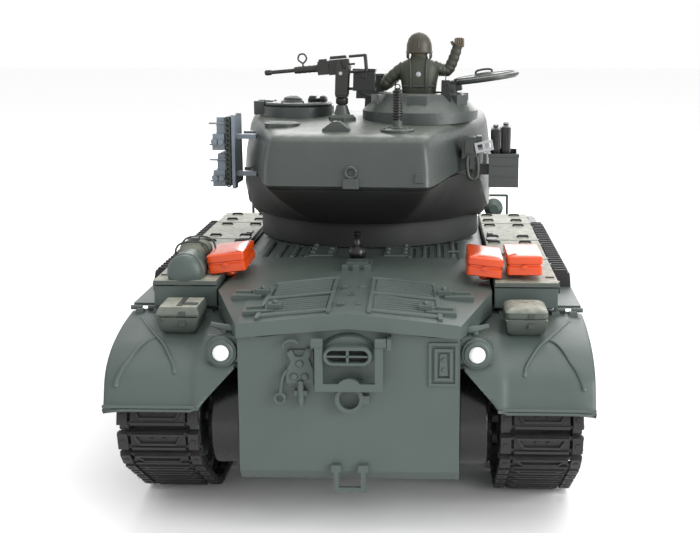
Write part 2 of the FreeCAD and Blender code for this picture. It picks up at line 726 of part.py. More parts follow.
def travel_lock():
    # U-shaped crutch folded up against the rear plate, on two pivots at its top corners
    y = -6.6
    x0, x1 = -14.6, 15.7
    bars = [box(x0, x0 + 3.6, y - 1.5, y + 1.5, 70.2, 93.0), box(x1 - 3.6, x1, y - 1.5, y + 1.5, 70.2, 93.0),
            box(x0, x1, y - 1.5, y + 1.5, 70.2, 73.8)]
    cradle = tube((0.5, y - 1.5, 70.2), (0.5, y + 1.5, 70.2), 6.0, 3.4).cut(box(-12, 12, -20, 5, 60, 70.2))
    knuckles = [rod((x0 - 1.6, y, 92.0), (x0 + 3.6, y, 92.0), 2.4), rod((x1 - 3.6, y, 92.0), (x1 + 1.6, y, 92.0), 2.4)]
    bore = rod((x0 - 9, y, 92.0), (x1 + 9, y, 92.0), 1.0 + pin_clearance)
    return fuse(bars + [cradle] + knuckles).cut(bore)


# ---- running gear ----
def roller_places():
    places = []
    for k in range(roller_count):
        first, last = rear_wheel_ahead + 8.0, idler_ahead - 62.0
        ahead = first + k * (last - first) / (roller_count - 1)
        places.append((ahead, top_run_height(ahead) - pin_to_inner - gap - roller_radius))
    return places


def top_run_height(ahead):
    (y0, z0), (y1, z1) = belt_tangent(track_circles()[0], track_circles()[3], upper=True)
    return z0 + (z1 - z0) * (ahead - y0) / (y1 - y0)


def track_circles():
    bend = (road_wheel_radius + gap + pin_to_inner) / math.cos(half_link_angle)
    idler_bend = (idler_radius + gap + pin_to_inner) / math.cos(half_link_angle)
    return [(sprocket_ahead, sprocket_height, sprocket_pitch_radius),
            (rear_wheel_ahead - link_pitch_wanted / 2, pin_to_ground + bend, bend),
            (front_wheel_ahead + link_pitch_wanted / 2, pin_to_ground + bend, bend),
            (idler_ahead, idler_height, idler_bend)]


def belt_tangent(first, second, upper=False):
    # outer tangent of two circles, below them or above them
    y0, z0, r0 = first
    y1, z1, r1 = second
    distance = math.hypot(y1 - y0, z1 - z0)
    along = math.atan2(z1 - z0, y1 - y0)
    turn = math.asin((r0 - r1) / distance)
    if upper:
        normal = along + math.pi / 2 - turn
    else:
        normal = along - math.pi / 2 + turn
    c, s = math.cos(normal), math.sin(normal)
    return (y0 + r0 * c, z0 + r0 * s), (y1 + r1 * c, z1 + r1 * s)


def belt_path():
    # list of straight runs and arcs, starting under the sprocket and going forward along the ground
    circles = track_circles()
    legs = [belt_tangent(circles[i], circles[i + 1]) for i in range(3)]
    top = belt_tangent(circles[0], circles[3], upper=True)
    legs.append((top[1], top[0]))
    return circles, legs


def belt_point(distance):
    # place on the pitch line at a distance along it
    circles, legs = belt_path()
    order = [1, 2, 3, 0]
    for k in range(4):
        (y0, z0), (y1, z1) = legs[k]
        run = math.hypot(y1 - y0, z1 - z0)
        if distance <= run:
            t = distance / run
            return y0 + (y1 - y0) * t, z0 + (z1 - z0) * t
        distance -= run
        cy, cz, r = circles[order[k]]
        start = math.atan2(z1 - cz, y1 - cy)
        (ny, nz) = legs[(k + 1) % 4][0]
        end = math.atan2(nz - cz, ny - cy)
        while end < start:
            end += 2 * math.pi
        arc = (end - start) * r
        if distance <= arc:
            a = start + distance / r
            return cy + r * math.cos(a), cz + r * math.sin(a)
        distance -= arc
    return legs[0][0]


def belt_length():
    circles, legs = belt_path()
    order = [1, 2, 3, 0]
    total = 0.0
    for k in range(4):
        (y0, z0), (y1, z1) = legs[k]
        total += math.hypot(y1 - y0, z1 - z0)
        cy, cz, r = circles[order[k]]
        start = math.atan2(z1 - cz, y1 - cy)
        end = math.atan2(legs[(k + 1) % 4][0][1] - cz, legs[(k + 1) % 4][0][0] - cy)
        while end < start:
            end += 2 * math.pi
        total += (end - start) * r
    return total


def track_link():
    # drawn at the origin: heading +Y, inner face up, ground face down
    half = pad_width / 2
    end = track_width / 2
    body = box(-half, half, -4.7, 4.7, -1.3, pin_to_inner)
    chevron = slab_z([(-half + 0.3, -4.6), (half - 0.3, -4.6), (half - 4.4, 1.2), (-half + 4.4, 1.2)],
                     -pin_to_ground, -1.2)
    bar = box(-half + 0.3, half - 0.3, 2.6, 4.5, -pin_to_ground + 0.2, -1.2)
    ends = [box(s * (half + 0.9), s * end, -4.4, 4.4, -pin_to_ground + 0.3, pin_to_inner - 0.4) for s in (-1, 1)]
    pins = [box(s * (half - 0.5), s * (end - 0.5), y - 0.8, y + 0.8, -0.8, 0.8) for s in (-1, 1) for y in (-3.0, 3.0)]
    horn = slab_x([(-2.8, pin_to_inner - 0.2), (2.8, pin_to_inner - 0.2), (1.2, horn_top), (-1.2, horn_top)], -2.2, 2.2)
    return fuse([body, chevron, bar] + ends + pins + [horn])


def track(side):
    length = belt_length()
    count = int(round(length / link_pitch_wanted))
    link = track_link()
    links = []
    for k in range(count):
        y0, z0 = belt_point(k * length / count)
        y1, z1 = belt_point((k + 1) * length / count - 1e-6)
        piece = link.copy()
        piece.rotate(V(0, 0, 0), V(1, 0, 0), math.degrees(math.atan2(z1 - z0, y1 - y0)))
        piece.translate(V(side * track_centre, (y0 + y1) / 2, (z0 + z1) / 2))
        links.append(piece)
    return links


def wheel_half(outer):
    # one disc of a double wheel, from the middle outwards
    h = horn_channel / 2
    w = road_wheel_width / 2
    r = road_wheel_radius - 3.0
    if outer:
        return [(0.05, axle_radius + pin_clearance), (0.05, 8.0), (h, 8.0), (h, r), (w, r), (w, r - 1.8), (w - 4.0, r - 3.2),
                (w - 4.6, (r + 0.6) / 2), (w + 0.6, 6.4), (w + 2.4, 5.0), (w + 2.4, 0), (w - 1.0, 0), (w - 1.0, axle_radius + pin_clearance)]
    return [(-0.05, axle_radius + pin_clearance), (-0.05, 8.0), (-h, 8.0), (-h, r), (-w, r), (-w, r - 1.8), (-w + 4.0, r - 3.2),
            (-w + 4.0, axle_radius + pin_clearance)]


def tyre(sign, radius):
    h = horn_channel / 2
    w = road_wheel_width / 2
    inner = radius - 2.95
    return [(sign * h, inner), (sign * h, radius - 0.5), (sign * (h + 0.5), radius), (sign * (w - 0.5), radius),
            (sign * w, radius - 0.5), (sign * w, inner)]


def road_wheel(side, index):
    ahead = rear_wheel_ahead + index * wheel_spacing
    place = (side, ahead, wheel_axle_height)
    return [wheel_form(wheel_half(True), *place), wheel_form(wheel_half(False), *place),
            wheel_form(tyre(1, road_wheel_radius), *place), wheel_form(tyre(-1, road_wheel_radius), *place)]


def suspension_arm(side, index):
    ahead, height = arm_pivot(index)
    wheel_ahead = ahead - arm_length_back
    x0 = side * (hull_half_width + 4.0 + gap)
    x_blade = side * (track_centre - road_wheel_width / 2 - 10.0)
    x1 = side * (track_centre - road_wheel_width / 2 - 1.0)
    run = V(0, -arm_length_back, -arm_drop)
    across = V(0, arm_drop, -arm_length_back).normalize()
    corners = [V(0, ahead, height) + across * 5.5, V(0, ahead, height) - across * 5.5,
               V(0, ahead, height) + run - across * 4.2, V(0, ahead, height) + run + across * 4.2]
    blade = slab_x([(c.y, c.z) for c in corners], x_blade, x1)
    hub = rod((x0, ahead, height), (x1, ahead, height), 5.5)
    boss = rod((x_blade, wheel_ahead, wheel_axle_height), (x1, wheel_ahead, wheel_axle_height), 4.2)
    pin = rod((side * (hull_half_width - 5.5), ahead, height), (x0 + side, ahead, height), arm_pin_radius)
    axle = rod((x1 - side, wheel_ahead, wheel_axle_height),
               (side * (track_centre + road_wheel_width / 2 - 1.4), wheel_ahead, wheel_axle_height), axle_radius)
    return [fuse([blade, hub, boss, pin, axle])]


def sprocket(side):
    inner_face = sprocket_pitch_radius * math.cos(half_link_angle) - pin_to_inner
    tip = inner_face - 0.2
    root = inner_face - 2.6
    ring_in = pad_width / 2 + 1.2
    ring_out = track_width / 2 - 0.6
    drum = wheel_form([(-ring_in - 0.5, 0), (-ring_in - 0.5, 12.0), (-6.0, 12.0), (-4.0, 11.0), (4.0, 11.0), (6.0, 12.0),
                       (ring_in + 0.5, 12.0), (ring_in + 0.5, 0)], side, sprocket_ahead, sprocket_height)
    cap = wheel_form([(ring_in, 0), (ring_in, 9.5), (ring_out, 7.5), (ring_out + 2.4, 6.0), (ring_out + 2.4, 0)],
                     side, sprocket_ahead, sprocket_height)
    axle = rod((side * (hull_half_width + 2.0), sprocket_ahead, sprocket_height),
               (side * (track_centre - 5), sprocket_ahead, sprocket_height), axle_radius)
    parts = [drum, cap, axle]
    for sign in (-1, 1):
        x = side * track_centre + sign * (ring_in + ring_out) / 2
        half = (ring_out - ring_in) / 2
        parts.append(gear_ring(x - half, x + half, root, tip))
    return [fuse(parts)]


def gear_ring(x0, x1, root, tip):
    points = []
    for k in range(sprocket_teeth):
        for part, radius in ((-0.32, root), (-0.16, tip), (0.16, tip), (0.32, root)):
            a = 2 * math.pi * (k + part) / sprocket_teeth
            points.append((sprocket_ahead + radius * math.sin(a), sprocket_height + radius * math.cos(a)))
    return slab_x(points, x0, x1)


def idler(side):
    place = (side, idler_ahead, idler_height)
    h = horn_channel / 2
    w = road_wheel_width / 2
    r = idler_radius - 3.0
    bore = axle_radius + pin_clearance
    outer = [(0.05, bore), (0.05, 8.0), (h, 8.0), (h, r), (w, r), (w, r - 1.6), (w - 4.0, r - 3.0), (w - 4.4, 8.6),
             (w + 0.6, 6.0), (w + 2.2, 4.8), (w + 2.2, 0), (w - 1.0, 0), (w - 1.0, bore)]
    inner = [(-0.05, bore), (-0.05, 8.0), (-h, 8.0), (-h, r), (-w, r), (-w, r - 1.6), (-w + 4.0, r - 3.0), (-w + 4.0, bore)]
    return [wheel_form(outer, *place), wheel_form(inner, *place),
            wheel_form(tyre(1, idler_radius), *place), wheel_form(tyre(-1, idler_radius), *place)]


def idler_axles():
    parts = []
    for side in (left, right):
        shaft = rod((side * (hull_half_width - 8), idler_ahead, idler_height),
                    (side * (track_centre + road_wheel_width / 2 - 1.4), idler_ahead, idler_height), axle_radius)
        link = slab_x([(idler_ahead - 4.5, idler_height - 4.5), (idler_ahead + 4.5, idler_height - 4.5),
                       (idler_ahead + 4.5, idler_height + 4.5), (idler_ahead - 24.0, idler_height + 1.0),
                       (idler_ahead - 24.0, idler_height - 4.0)],
                      side * (hull_half_width + 0.02), side * (track_centre - 17.3))
        parts.append(fuse([shaft, link]))
    return parts


def return_rollers():
    parts = []
    for side in (left, right):
        for ahead, height in roller_places():
            drum = spun([(-9.4, 0), (-9.4, roller_radius), (-3.2, roller_radius), (-3.2, 2.6), (3.2, 2.6),
                         (3.2, roller_radius), (9.4, roller_radius), (9.4, 0)],
                        (side * track_centre, ahead, height), (1, 0, 0), (0, 0, 1))
            post = rod((side * (hull_half_width + 0.05), ahead, height), (side * (track_centre - 9.0), ahead, height), 3.0)
            peg = rod((side * (hull_half_width - 3.0), ahead, height), (side * (hull_half_width + 1), ahead, height), 1.9)
            parts.append(fuse([drum, post, peg]))
    return parts


def power_switch():
    z = belly_height
    knob = box(-2.4, 2.4, switch_ahead - 5.5, switch_ahead - 1.5, z - 1.2, z + 0.6)
    shoe = box(-4.6, 4.6, switch_ahead - 10.5, switch_ahead + 3.5, z + hull_wall + 0.3, z + hull_wall + 1.8)
    neck = box(-2.0, 2.0, switch_ahead - 5.2, switch_ahead - 1.8, z + 0.5, z + hull_wall + 0.4)
    return [fuse([knob, shoe, neck])]


def hull_screws():
    parts = []
    for x, y in hull_screw_places():
        head = rod((x, y, belly_height - 1.3), (x, y, belly_height - 0.02), 2.6)
        shank = rod((x, y, belly_height - 0.1), (x, y, belly_height + hull_wall), 1.4)
        slot = box(x - 2.0, x + 2.0, y - 0.35, y + 0.35, belly_height - 2, belly_height - 0.7)
        parts.append(fuse([head, shank]).cut(slot))
    return parts


# ---- turret ----
def roof_height(y):
    if y <= 0:
        return roof_axis + y * (roof_axis - roof_rear) / bustle_length
    return roof_axis


def turret_plan(inset, z):
    half = [(0, -bustle_length), (bustle_half_width - 8.0, -bustle_length), (bustle_half_width - 2.4, -bustle_length + 2.4),
            (bustle_half_width + 1.5, -bustle_length + 9.0), (57.0, -68.0), (67.5, -36.0), (turret_half_width, -8.0),
            (70.0, 14.0), (60.0, 38.0), (44.0, 55.0), (34.0, 60.0), (0, 60.0)]
    points = []
    for x, y in half:
        reach = math.hypot(x, y + 20.0)
        scale = (reach - inset) / reach
        points.append((x * scale, (y + 20.0) * scale - 20.0))
    ring = points + [(-x, y) for x, y in points[::-1] if abs(x) > 1e-6]
    return [(x, y, z) for x, y in ring]


def turret_body(shell):
    # shell 0 gives the outside, a wall's thickness gives the inside
    low = turret_floor + shell
    body = skin([turret_plan(4.0 + shell, low), turret_plan(0.0 + shell, 142.0), turret_plan(1.0 + shell, 160.0),
                  turret_plan(6.5 + shell, 192.0)])
    over = [(-130, 200), (-130, roof_height(-130) - shell), (0, roof_axis - shell), (34, roof_axis - shell),
            (70, 176.0 - shell), (80, 176.0 - shell), (80, 200)]
    under = [(-130, 100), (-130, bustle_bottom + shell), (-bustle_length, bustle_bottom + shell),
             (-96, 140.0 + shell), (-78, 130.0 + shell), (-64, turret_floor + shell - 0.001), (-64, 100)]
    body = body.cut(slab_x(over, -120, 120))
    return body.cut(slab_x(under, -120, 120))


def turret_shell():
    outer = turret_body(0.0)
    collar = rod((0, 0, deck_height + gap), (0, 0, turret_floor + 1.0), ring_radius)
    skirt = rod((0, 0, deck_height - 8), (0, 0, deck_height + 4), deck_opening_radius - 0.5)
    shell = outer.fuse(collar).fuse(skirt)
    shell = shell.cut(turret_body(turret_wall))
    shell = shell.cut(rod((0, 0, deck_height - 20), (0, 0, turret_floor + 6), ring_bore))
    gun_room = fuse([rod((-mantlet_half_width - 0.6, trunnion_ahead, gun_axis_height),
                         (mantlet_half_width + 0.6, trunnion_ahead, gun_axis_height), mantlet_radius + 0.6),
                     box(-mantlet_half_width - 0.6, mantlet_half_width + 0.6, trunnion_ahead, 90,
                         gun_axis_height - mantlet_radius - 0.6, gun_axis_height + mantlet_radius + 0.6)])
    shell = shell.cut(gun_room)
    shell = shell.cut(rod((cupola_x, cupola_y, 160), (cupola_x, cupola_y, 200), hatchway_radius + 0.5))
    shell = shell.cut(rod((loader_x, loader_y, 160), (loader_x, loader_y, 200), loader_radius - 5.0))
    cheeks = [box(side * (mantlet_half_width + 0.6), side * (mantlet_half_width + 5.0), trunnion_ahead - 7,
                  trunnion_ahead + 7, turret_floor + 1, gun_axis_height + 7) for side in (left, right)]
    shell = shell.fuse(cheeks)
    shell = shell.cut(rod((-mantlet_half_width - 4.0, trunnion_ahead, gun_axis_height),
                          (mantlet_half_width + 4.0, trunnion_ahead, gun_axis_height), 3.0 + pin_clearance))
    return [shell.removeSplitter()]


def gun_mount():
    w = mantlet_half_width
    drum = rod((-w, trunnion_ahead, gun_axis_height), (w, trunnion_ahead, gun_axis_height), mantlet_radius)
    sleeve = rod((0, trunnion_ahead + 15, gun_axis_height), (0, trunnion_ahead + 36, gun_axis_height), 10.5)
    pins = rod((-w - 3.4, trunnion_ahead, gun_axis_height), (w + 3.4, trunnion_ahead, gun_axis_height), 3.0)
    sight = rod((13, trunnion_ahead + 10, gun_axis_height + 6), (13, trunnion_ahead + 25, gun_axis_height + 6), 3.0)
    block = fuse([drum, sleeve, pins])
    block = block.cut(sight)
    return [block.cut(rod((0, trunnion_ahead - 5, gun_axis_height), (0, trunnion_ahead + 60, gun_axis_height),
                          barrel_radius + 0.05))]


def gun_barrel():
    start = trunnion_ahead - 4.0
    yaw = math.radians(abs(turret_rest_yaw))
    end = (muzzle_ahead - turret_ahead - muzzle_radius * math.sin(yaw)) / math.cos(yaw)
    brake = end - 26.0
    points = [(0, gun_bore_radius), (0, barrel_radius), (60, barrel_radius), (brake - start, barrel_radius - 0.9),
              (brake - start, muzzle_radius), (brake - start + 4, 8.0), (brake - start + 10, 8.0),
              (brake - start + 10.5, 5.0), (brake - start + 15.0, 5.0), (brake - start + 15.5, 7.6),
              (end - start - 1.5, 7.6), (end - start, muzzle_radius), (end - start, gun_bore_radius)]
    return [spun(points, (0, start, gun_axis_height), (0, 1, 0), (0, 0, 1))]


def elevation_unit():
    # traverse gear ring inside the collar, and the elevation motor on the turret floor
    ring = tube((0, 0, deck_height - 7), (0, 0, deck_height - 2), ring_bore - 0.02, ring_bore - 7.0)
    bed = box(-ring_bore - 5, ring_bore + 5, -14, 12, turret_floor + turret_wall + 0.05, turret_floor + turret_wall + 3)
    motor = rod((-16, -8, turret_floor + 18), (12, -8, turret_floor + 18), 10.0)
    return [ring, fuse([bed, box(-14, 10, -14, -2, turret_floor + 5, turret_floor + 12), motor])]


def cupola():
    slab = slab_x([(-130, 150), (-130, roof_height(-130)), (0, roof_axis), (60, roof_axis), (60, 150)], -120, 120)
    form = spun([(-8, 0), (-8, cupola_base_radius), (0, cupola_base_radius), (5.0, cupola_top_radius + 3.0),
                 (cupola_top - cupola_base, cupola_top_radius), (cupola_top - cupola_base, 0)],
                (cupola_x, cupola_y, cupola_base), (0, 0, 1), (1, 0, 0))
    blocks = []
    for k in range(6):
        a = math.radians(60 * k + 30)
        cx = cupola_x + 24.6 * math.cos(a)
        cy = cupola_y + 24.6 * math.sin(a)
        block = turned(box(cx - 3.0, cx + 3.0, cy - 5.2, cy + 5.2, cupola_base + 2.5, cupola_top - 0.6),
                       (cx, cy, 0), (0, 0, 1), math.degrees(a))
        blocks.append(block)
    form = fuse([form] + blocks)
    form = form.cut(slab)
    form = form.cut(rod((cupola_x, cupola_y, 160), (cupola_x, cupola_y, 210), hatchway_radius - 0.5))
    bucket = rod((cupola_x, cupola_y, seat_height - 2), (cupola_x, cupola_y, cupola_base + 4), hatchway_radius)
    form = form.fuse(bucket.cut(rod((cupola_x, cupola_y, seat_height), (cupola_x, cupola_y, 210), hatchway_radius - 2)))
    lugs = [box(hinge_x - 2.2, hinge_x + 2.2, cupola_y + y - 1.6, cupola_y + y + 1.6, cupola_top - 1.0, hinge_z + 2.0)
            for y in (-9.0, 9.0)]
    pins = [rod((hinge_x, cupola_y + y0, hinge_z), (hinge_x, cupola_y + y1, hinge_z), 1.0)
            for y0, y1 in ((-10.6, -4.6), (4.6, 10.6))]
    return [fuse([form] + lugs + pins)]


hinge_x = cupola_x + hatchway_radius + 2.6
hinge_z = cupola_top + 2.6
hatch_rest_tilt = 8.0
hatch_radius = 19.0


def commander_hatch():
    # drawn lying open and level, hinged along Y, then tilted up by its rest angle
    cx = 2 * hinge_x - cupola_x
    z = hinge_z + 1.4
    disc = spun([(0, 0), (0, hatch_radius - 1.5), (1.2, hatch_radius), (2.4, hatch_radius), (3.2, hatch_radius - 2.0),
                 (3.2, 0)], (cx, cupola_y, z), (0, 0, 1), (1, 0, 0))
    disc = disc.cut(box(hinge_x - 30, hinge_x + 3.0, cupola_y - 40, cupola_y + 40, z - 5, z + 9))
    ears = [box(hinge_x - 1.8, hinge_x + 5.0, cupola_y + y - 2.1, cupola_y + y + 2.1, hinge_z - 1.8, z + 2.6)
            for y in (-4.7, 4.7)]
    dome = spun([(3.1, 0), (3.1, 6.0), (4.6, 4.4), (5.0, 0)], (cx, cupola_y, z), (0, 0, 1), (1, 0, 0))
    lid = fuse([disc, dome] + ears)
    lid = lid.cut(rod((hinge_x, cupola_y - 20, hinge_z), (hinge_x, cupola_y + 20, hinge_z), 1.0 + pin_clearance))
    return [turned(lid, (hinge_x, cupola_y, hinge_z), (0, 1, 0), -hatch_rest_tilt)]


loader_hinge_x = loader_x - loader_radius + 1.2
loader_seat = 185.4
loader_hinge_z = loader_seat + 1.2


def loader_ring():
    slab = slab_x([(-130, 150), (-130, roof_height(-130)), (0, roof_axis), (60, roof_axis), (60, 150)], -120, 120)
    ring = tube((loader_x, loader_y, 175), (loader_x, loader_y, loader_seat - 0.2), loader_radius, loader_radius - 5.0)
    ears = [box(loader_hinge_x - 4.6, loader_hinge_x + 1.2, loader_y + y - 1.5, loader_y + y + 1.5, loader_seat - 5.0,
                loader_hinge_z + 1.4) for y in (-6.5, 6.5)]
    ring = fuse([ring] + ears).cut(slab)
    pins = [rod((loader_hinge_x - 2.2, loader_y + y0, loader_hinge_z), (loader_hinge_x - 2.2, loader_y + y1, loader_hinge_z), 0.9)
            for y0, y1 in ((-7.8, -2.4), (2.4, 7.8))]
    return fuse([ring] + pins)


def loader_hatch():
    z = loader_seat
    lid = spun([(0, 0), (0, loader_radius - 1.4), (1.0, loader_radius - 0.6), (2.0, loader_radius - 1.6), (2.0, 0)],
               (loader_x, loader_y, z), (0, 0, 1), (1, 0, 0))
    lid = lid.cut(box(loader_x - 40, loader_hinge_x + 2.0, loader_y - 30, loader_y + 30, z - 3, z + 6))
    dome = spun([(1.8, 0), (1.8, 5.6), (4.0, 4.8), (5.4, 2.6), (5.6, 0)], (loader_x - 2.0, loader_y - 3.0, z),
                (0, 0, 1), (1, 0, 0))
    scope = fuse([box(loader_x + 6.5, loader_x + 16.5, loader_y - 4.5, loader_y + 3.5, z + 1.8, z + 4.2),
                  box(loader_x + 7.5, loader_x + 10.5, loader_y - 3.5, loader_y + 2.5, z + 4.0, z + 5.4)])
    ears = [box(loader_hinge_x - 3.6, loader_hinge_x + 2.4, loader_y + y - 1.4, loader_y + y + 1.4, z + 0.2, z + 2.0)
            for y in (-3.6, 3.6)]
    lid = fuse([lid, dome, scope] + ears)
    return [lid.cut(rod((loader_hinge_x - 2.2, loader_y - 20, loader_hinge_z), (loader_hinge_x - 2.2, loader_y + 20, loader_hinge_z),
                        0.9 + pin_clearance))]


def turret_fittings():
    roof_slab = slab_x([(-130, 150), (-130, roof_height(-130)), (0, roof_axis), (60, roof_axis), (60, 150)], -120, 120)
    parts = []
    plate = rod((-39.9, -69.6, 172), (-39.9, -69.6, roof_height(-69.6) + 1.2), 9.6).cut(roof_slab)
    block = slab_y([(-15.2, 170.0), (-15.2, 177.4), (-8.0, 181.5), (-1.0, 177.4), (-1.0, 170.0)], -92.0, -86.0).cut(roof_slab)
    aerial = fuse([rod((23.8, -88.0, 170), (23.8, -88.0, roof_height(-88) + 1.6), 6.0),
                   rod((23.8, -88.0, 176), (23.8, -88.0, 201.0), 1.3)]).cut(roof_slab)
    parts += [plate, block, aerial]
    outer = turret_body(0.0)
    lug = fuse([box(-2.2, 6.4, -bustle_length - 1.8, -bustle_length + 1, 148.6, 154.0),
                tube((2.1, -bustle_length - 1.6, 157.0), (2.1, -bustle_length + 1, 157.0), 3.4, 1.8)]).cut(outer)
    parts.append(lug)
    # siren with its loops on the right flank, and the stowage bin with its two cans
    siren = fuse([rod((64.0, -74.0, 158), (64.0, -62.0, 158), 6.0), box(58, 66, -72, -64, 152, 172),
                  tube((63.0, -73.0, 170.0), (63.0, -70.0, 170.0), 5.0, 3.6)]).cut(outer)
    bin_body = box(71.0, 87.0, -66.0, -34.0, 144.5, 162.5).cut(box(72.2, 85.8, -64.8, -35.2, 147.0, 170))
    bin_arm = box(60.0, 71.5, -54.0, -46.0, 150.0, 156.0).cut(outer)
    cans = [fuse([box(x, x + 5.8, -60.0, -40.0, 147.02, 176.5), box(x + 1.6, x + 4.2, -52.0, -46.0, 176.4, 178.5)])
            for x in (72.6, 79.4)]
    parts += [siren, fuse([bin_body, bin_arm])] + cans
    # sight housing on its stand ahead of the cupola
    stand = fuse([rod((3.0, -24.0, 175), (3.0, -24.0, 190), 3.4), box(-5.0, 11.0, -27.0, -12.0, 188.0, 203.0),
                  rod((3.0, -28.6, 195.0), (3.0, -26.0, 195.0), 5.4)]).cut(roof_slab)
    stand = stand.cut(cupola()[0])
    parts.append(stand)
    return parts


def turret_track_rack():
    outer = turret_body(0.0)
    parts = []
    back = box(-66.5, -64.5, -76.0, -44.0, 143.5, 183.0)
    arms = [box(-64.6, -50.0, y - 2, y + 2, z, z + 3) for y in (-70.0, -50.0) for z in (150.0, 170.0)]
    back = fuse([back] + arms).cut(outer)
    parts.append(back)
    for k in range(2):
        z = 144.5 + k * 19.6
        link = fuse([box(-78.0, -66.6, -75.0, -45.0, z, z + 9.0), box(-74.0, -66.6, -73.0, -47.0, z + 8.9, z + 17.6),
                     box(-79.0, -76.0, -66.0, -54.0, z + 2, z + 7)])
        parts.append(link)
    return parts


def mg_pedestal():
    roof_slab = slab_x([(-130, 150), (-130, roof_height(-130)), (0, roof_axis), (60, roof_axis), (60, 150)], -120, 120)
    x, y = pedestal_x, pedestal_y
    foot = fuse([rod((x, y, 172), (x, y, 181.5), 5.6), rod((x, y, 180), (x, y, 187.0), 3.1)])
    foot = foot.cut(roof_slab)
    return foot.cut(rod((x, y, 180.5), (x, y, 190), 1.6))


def mg_yoke():
    x, y = pedestal_x, pedestal_y
    pintle = rod((x, y, 181.0), (x, y, 188.0), 1.55)
    head = rod((x, y, 187.1), (x, y, 192.0), 3.2)
    cross = box(x - 2.2, x + 2.2, y - 5.2, y + 5.2, 191.0, 194.0)
    arms = [slab_x([(y + s * 3.7, 192.0), (y + s * 5.2, 192.0), (y + s * 5.2, 206.6), (y + s * 3.7, 206.6)], x - 2.6, x + 2.2)
            for s in (-1, 1)]
    yoke = fuse([pintle, head, cross] + arms)
    return [yoke.cut(rod((x, y - 9, mg_trunnion_z), (x, y + 9, mg_trunnion_z), 1.0 + pin_clearance))]


mg_trunnion_z = 204.4
mg_rest_tilt = 5.0


def machine_gun():
    # drawn level, pointing to the left, then tipped down by its rest angle about the trunnions
    x, y, z = pedestal_x, pedestal_y, 208.0
    barrel = rod((x - 39.0, y, z), (x - 14.0, y, z), 1.0)
    hider = rod((x - 42.6, y, z), (x - 39.0, y, z), 1.6)
    jacket = rod((x - 24.0, y, z), (x - 12.0, y, z), 1.9)
    block = box(x - 13.0, x + 5.0, y - 2.6, y + 2.6, z - 4.4, z + 4.2)
    hump = box(x - 5.0, x + 4.0, y - 2.4, y + 2.4, z + 4.1, z + 6.4)
    grips = fuse([box(x + 4.9, x + 12.2, y - 0.9, y + 0.9, z + 4.4, z + 5.8), box(x + 4.9, x + 12.2, y - 0.9, y + 0.9, z - 3.6, z - 2.2),
                  box(x + 10.6, x + 12.2, y - 0.9, y + 0.9, z - 3.6, z + 5.8)])
    loop = tube((x - 20.5, y - 0.5, z + 5.0), (x - 20.5, y + 0.5, z + 5.0), 2.8, 1.9)
    stalk = box(x - 21.0, x - 20.0, y - 0.5, y + 0.5, z + 1.5, z + 3.0)
    trunnions = rod((x, y - 5.0, mg_trunnion_z), (x, y + 5.0, mg_trunnion_z), 1.0)
    gun = fuse([barrel, hider, jacket, block, hump, grips, loop, stalk, trunnions])
    return [turned(gun, (x, y, mg_trunnion_z), (0, 1, 0), -mg_rest_tilt)]


def limb(points, radii):
    pieces = []
    for k in range(len(points) - 1):
        run = V(*points[k + 1]) - V(*points[k])
        pieces.append(Part.makeCone(radii[k], radii[k + 1], run.Length, V(*points[k]), run))
    for p, r in zip(points, radii):
        pieces.append(Part.makeSphere(r, V(*p)))
    return pieces


def figure():
    x, y = cupola_x - 0.6, cupola_y
    parts = [spun([(0, 0), (0, 9.5), (12, 9.0), (22, 9.4), (30, 9.8), (34, 8.0), (37, 3.4), (37, 0)], (x, y, seat_height + 2.0),
                  (0, 0, 1), (1, 0, 0))]
    parts.append(rod((x, y, seat_height + 0.03), (x, y, seat_height + 3), 9.4))
    parts += limb([(x - 8.5, y, 207.5), (x - 19.0, y + 1.0, 197.8), (x - 14.5, y + 13.0, 200.5)], [3.6, 3.2, 2.2])
    parts += limb([(x + 8.5, y, 207.5), (x + 16.5, y + 1.5, 204.4), (x + 21.0, y + 1.5, 218.5), (x + 22.0, y + 1.5, 222.5)],
                  [3.6, 3.0, 2.2, 2.0])
    parts.append(rod((x, y, 210.0), (x, y, 215.0), 3.2))
    parts.append(Part.makeSphere(6.6, V(x, y + 0.6, 217.5)))
    helmet = spun([(0, 0), (0, 7.8), (3.0, 7.6), (7.0, 5.6), (9.4, 2.4), (10.0, 0)], (x, y, 216.6), (0, 0, 1), (1, 0, 0))
    parts.append(helmet)
    return [fuse(parts)]


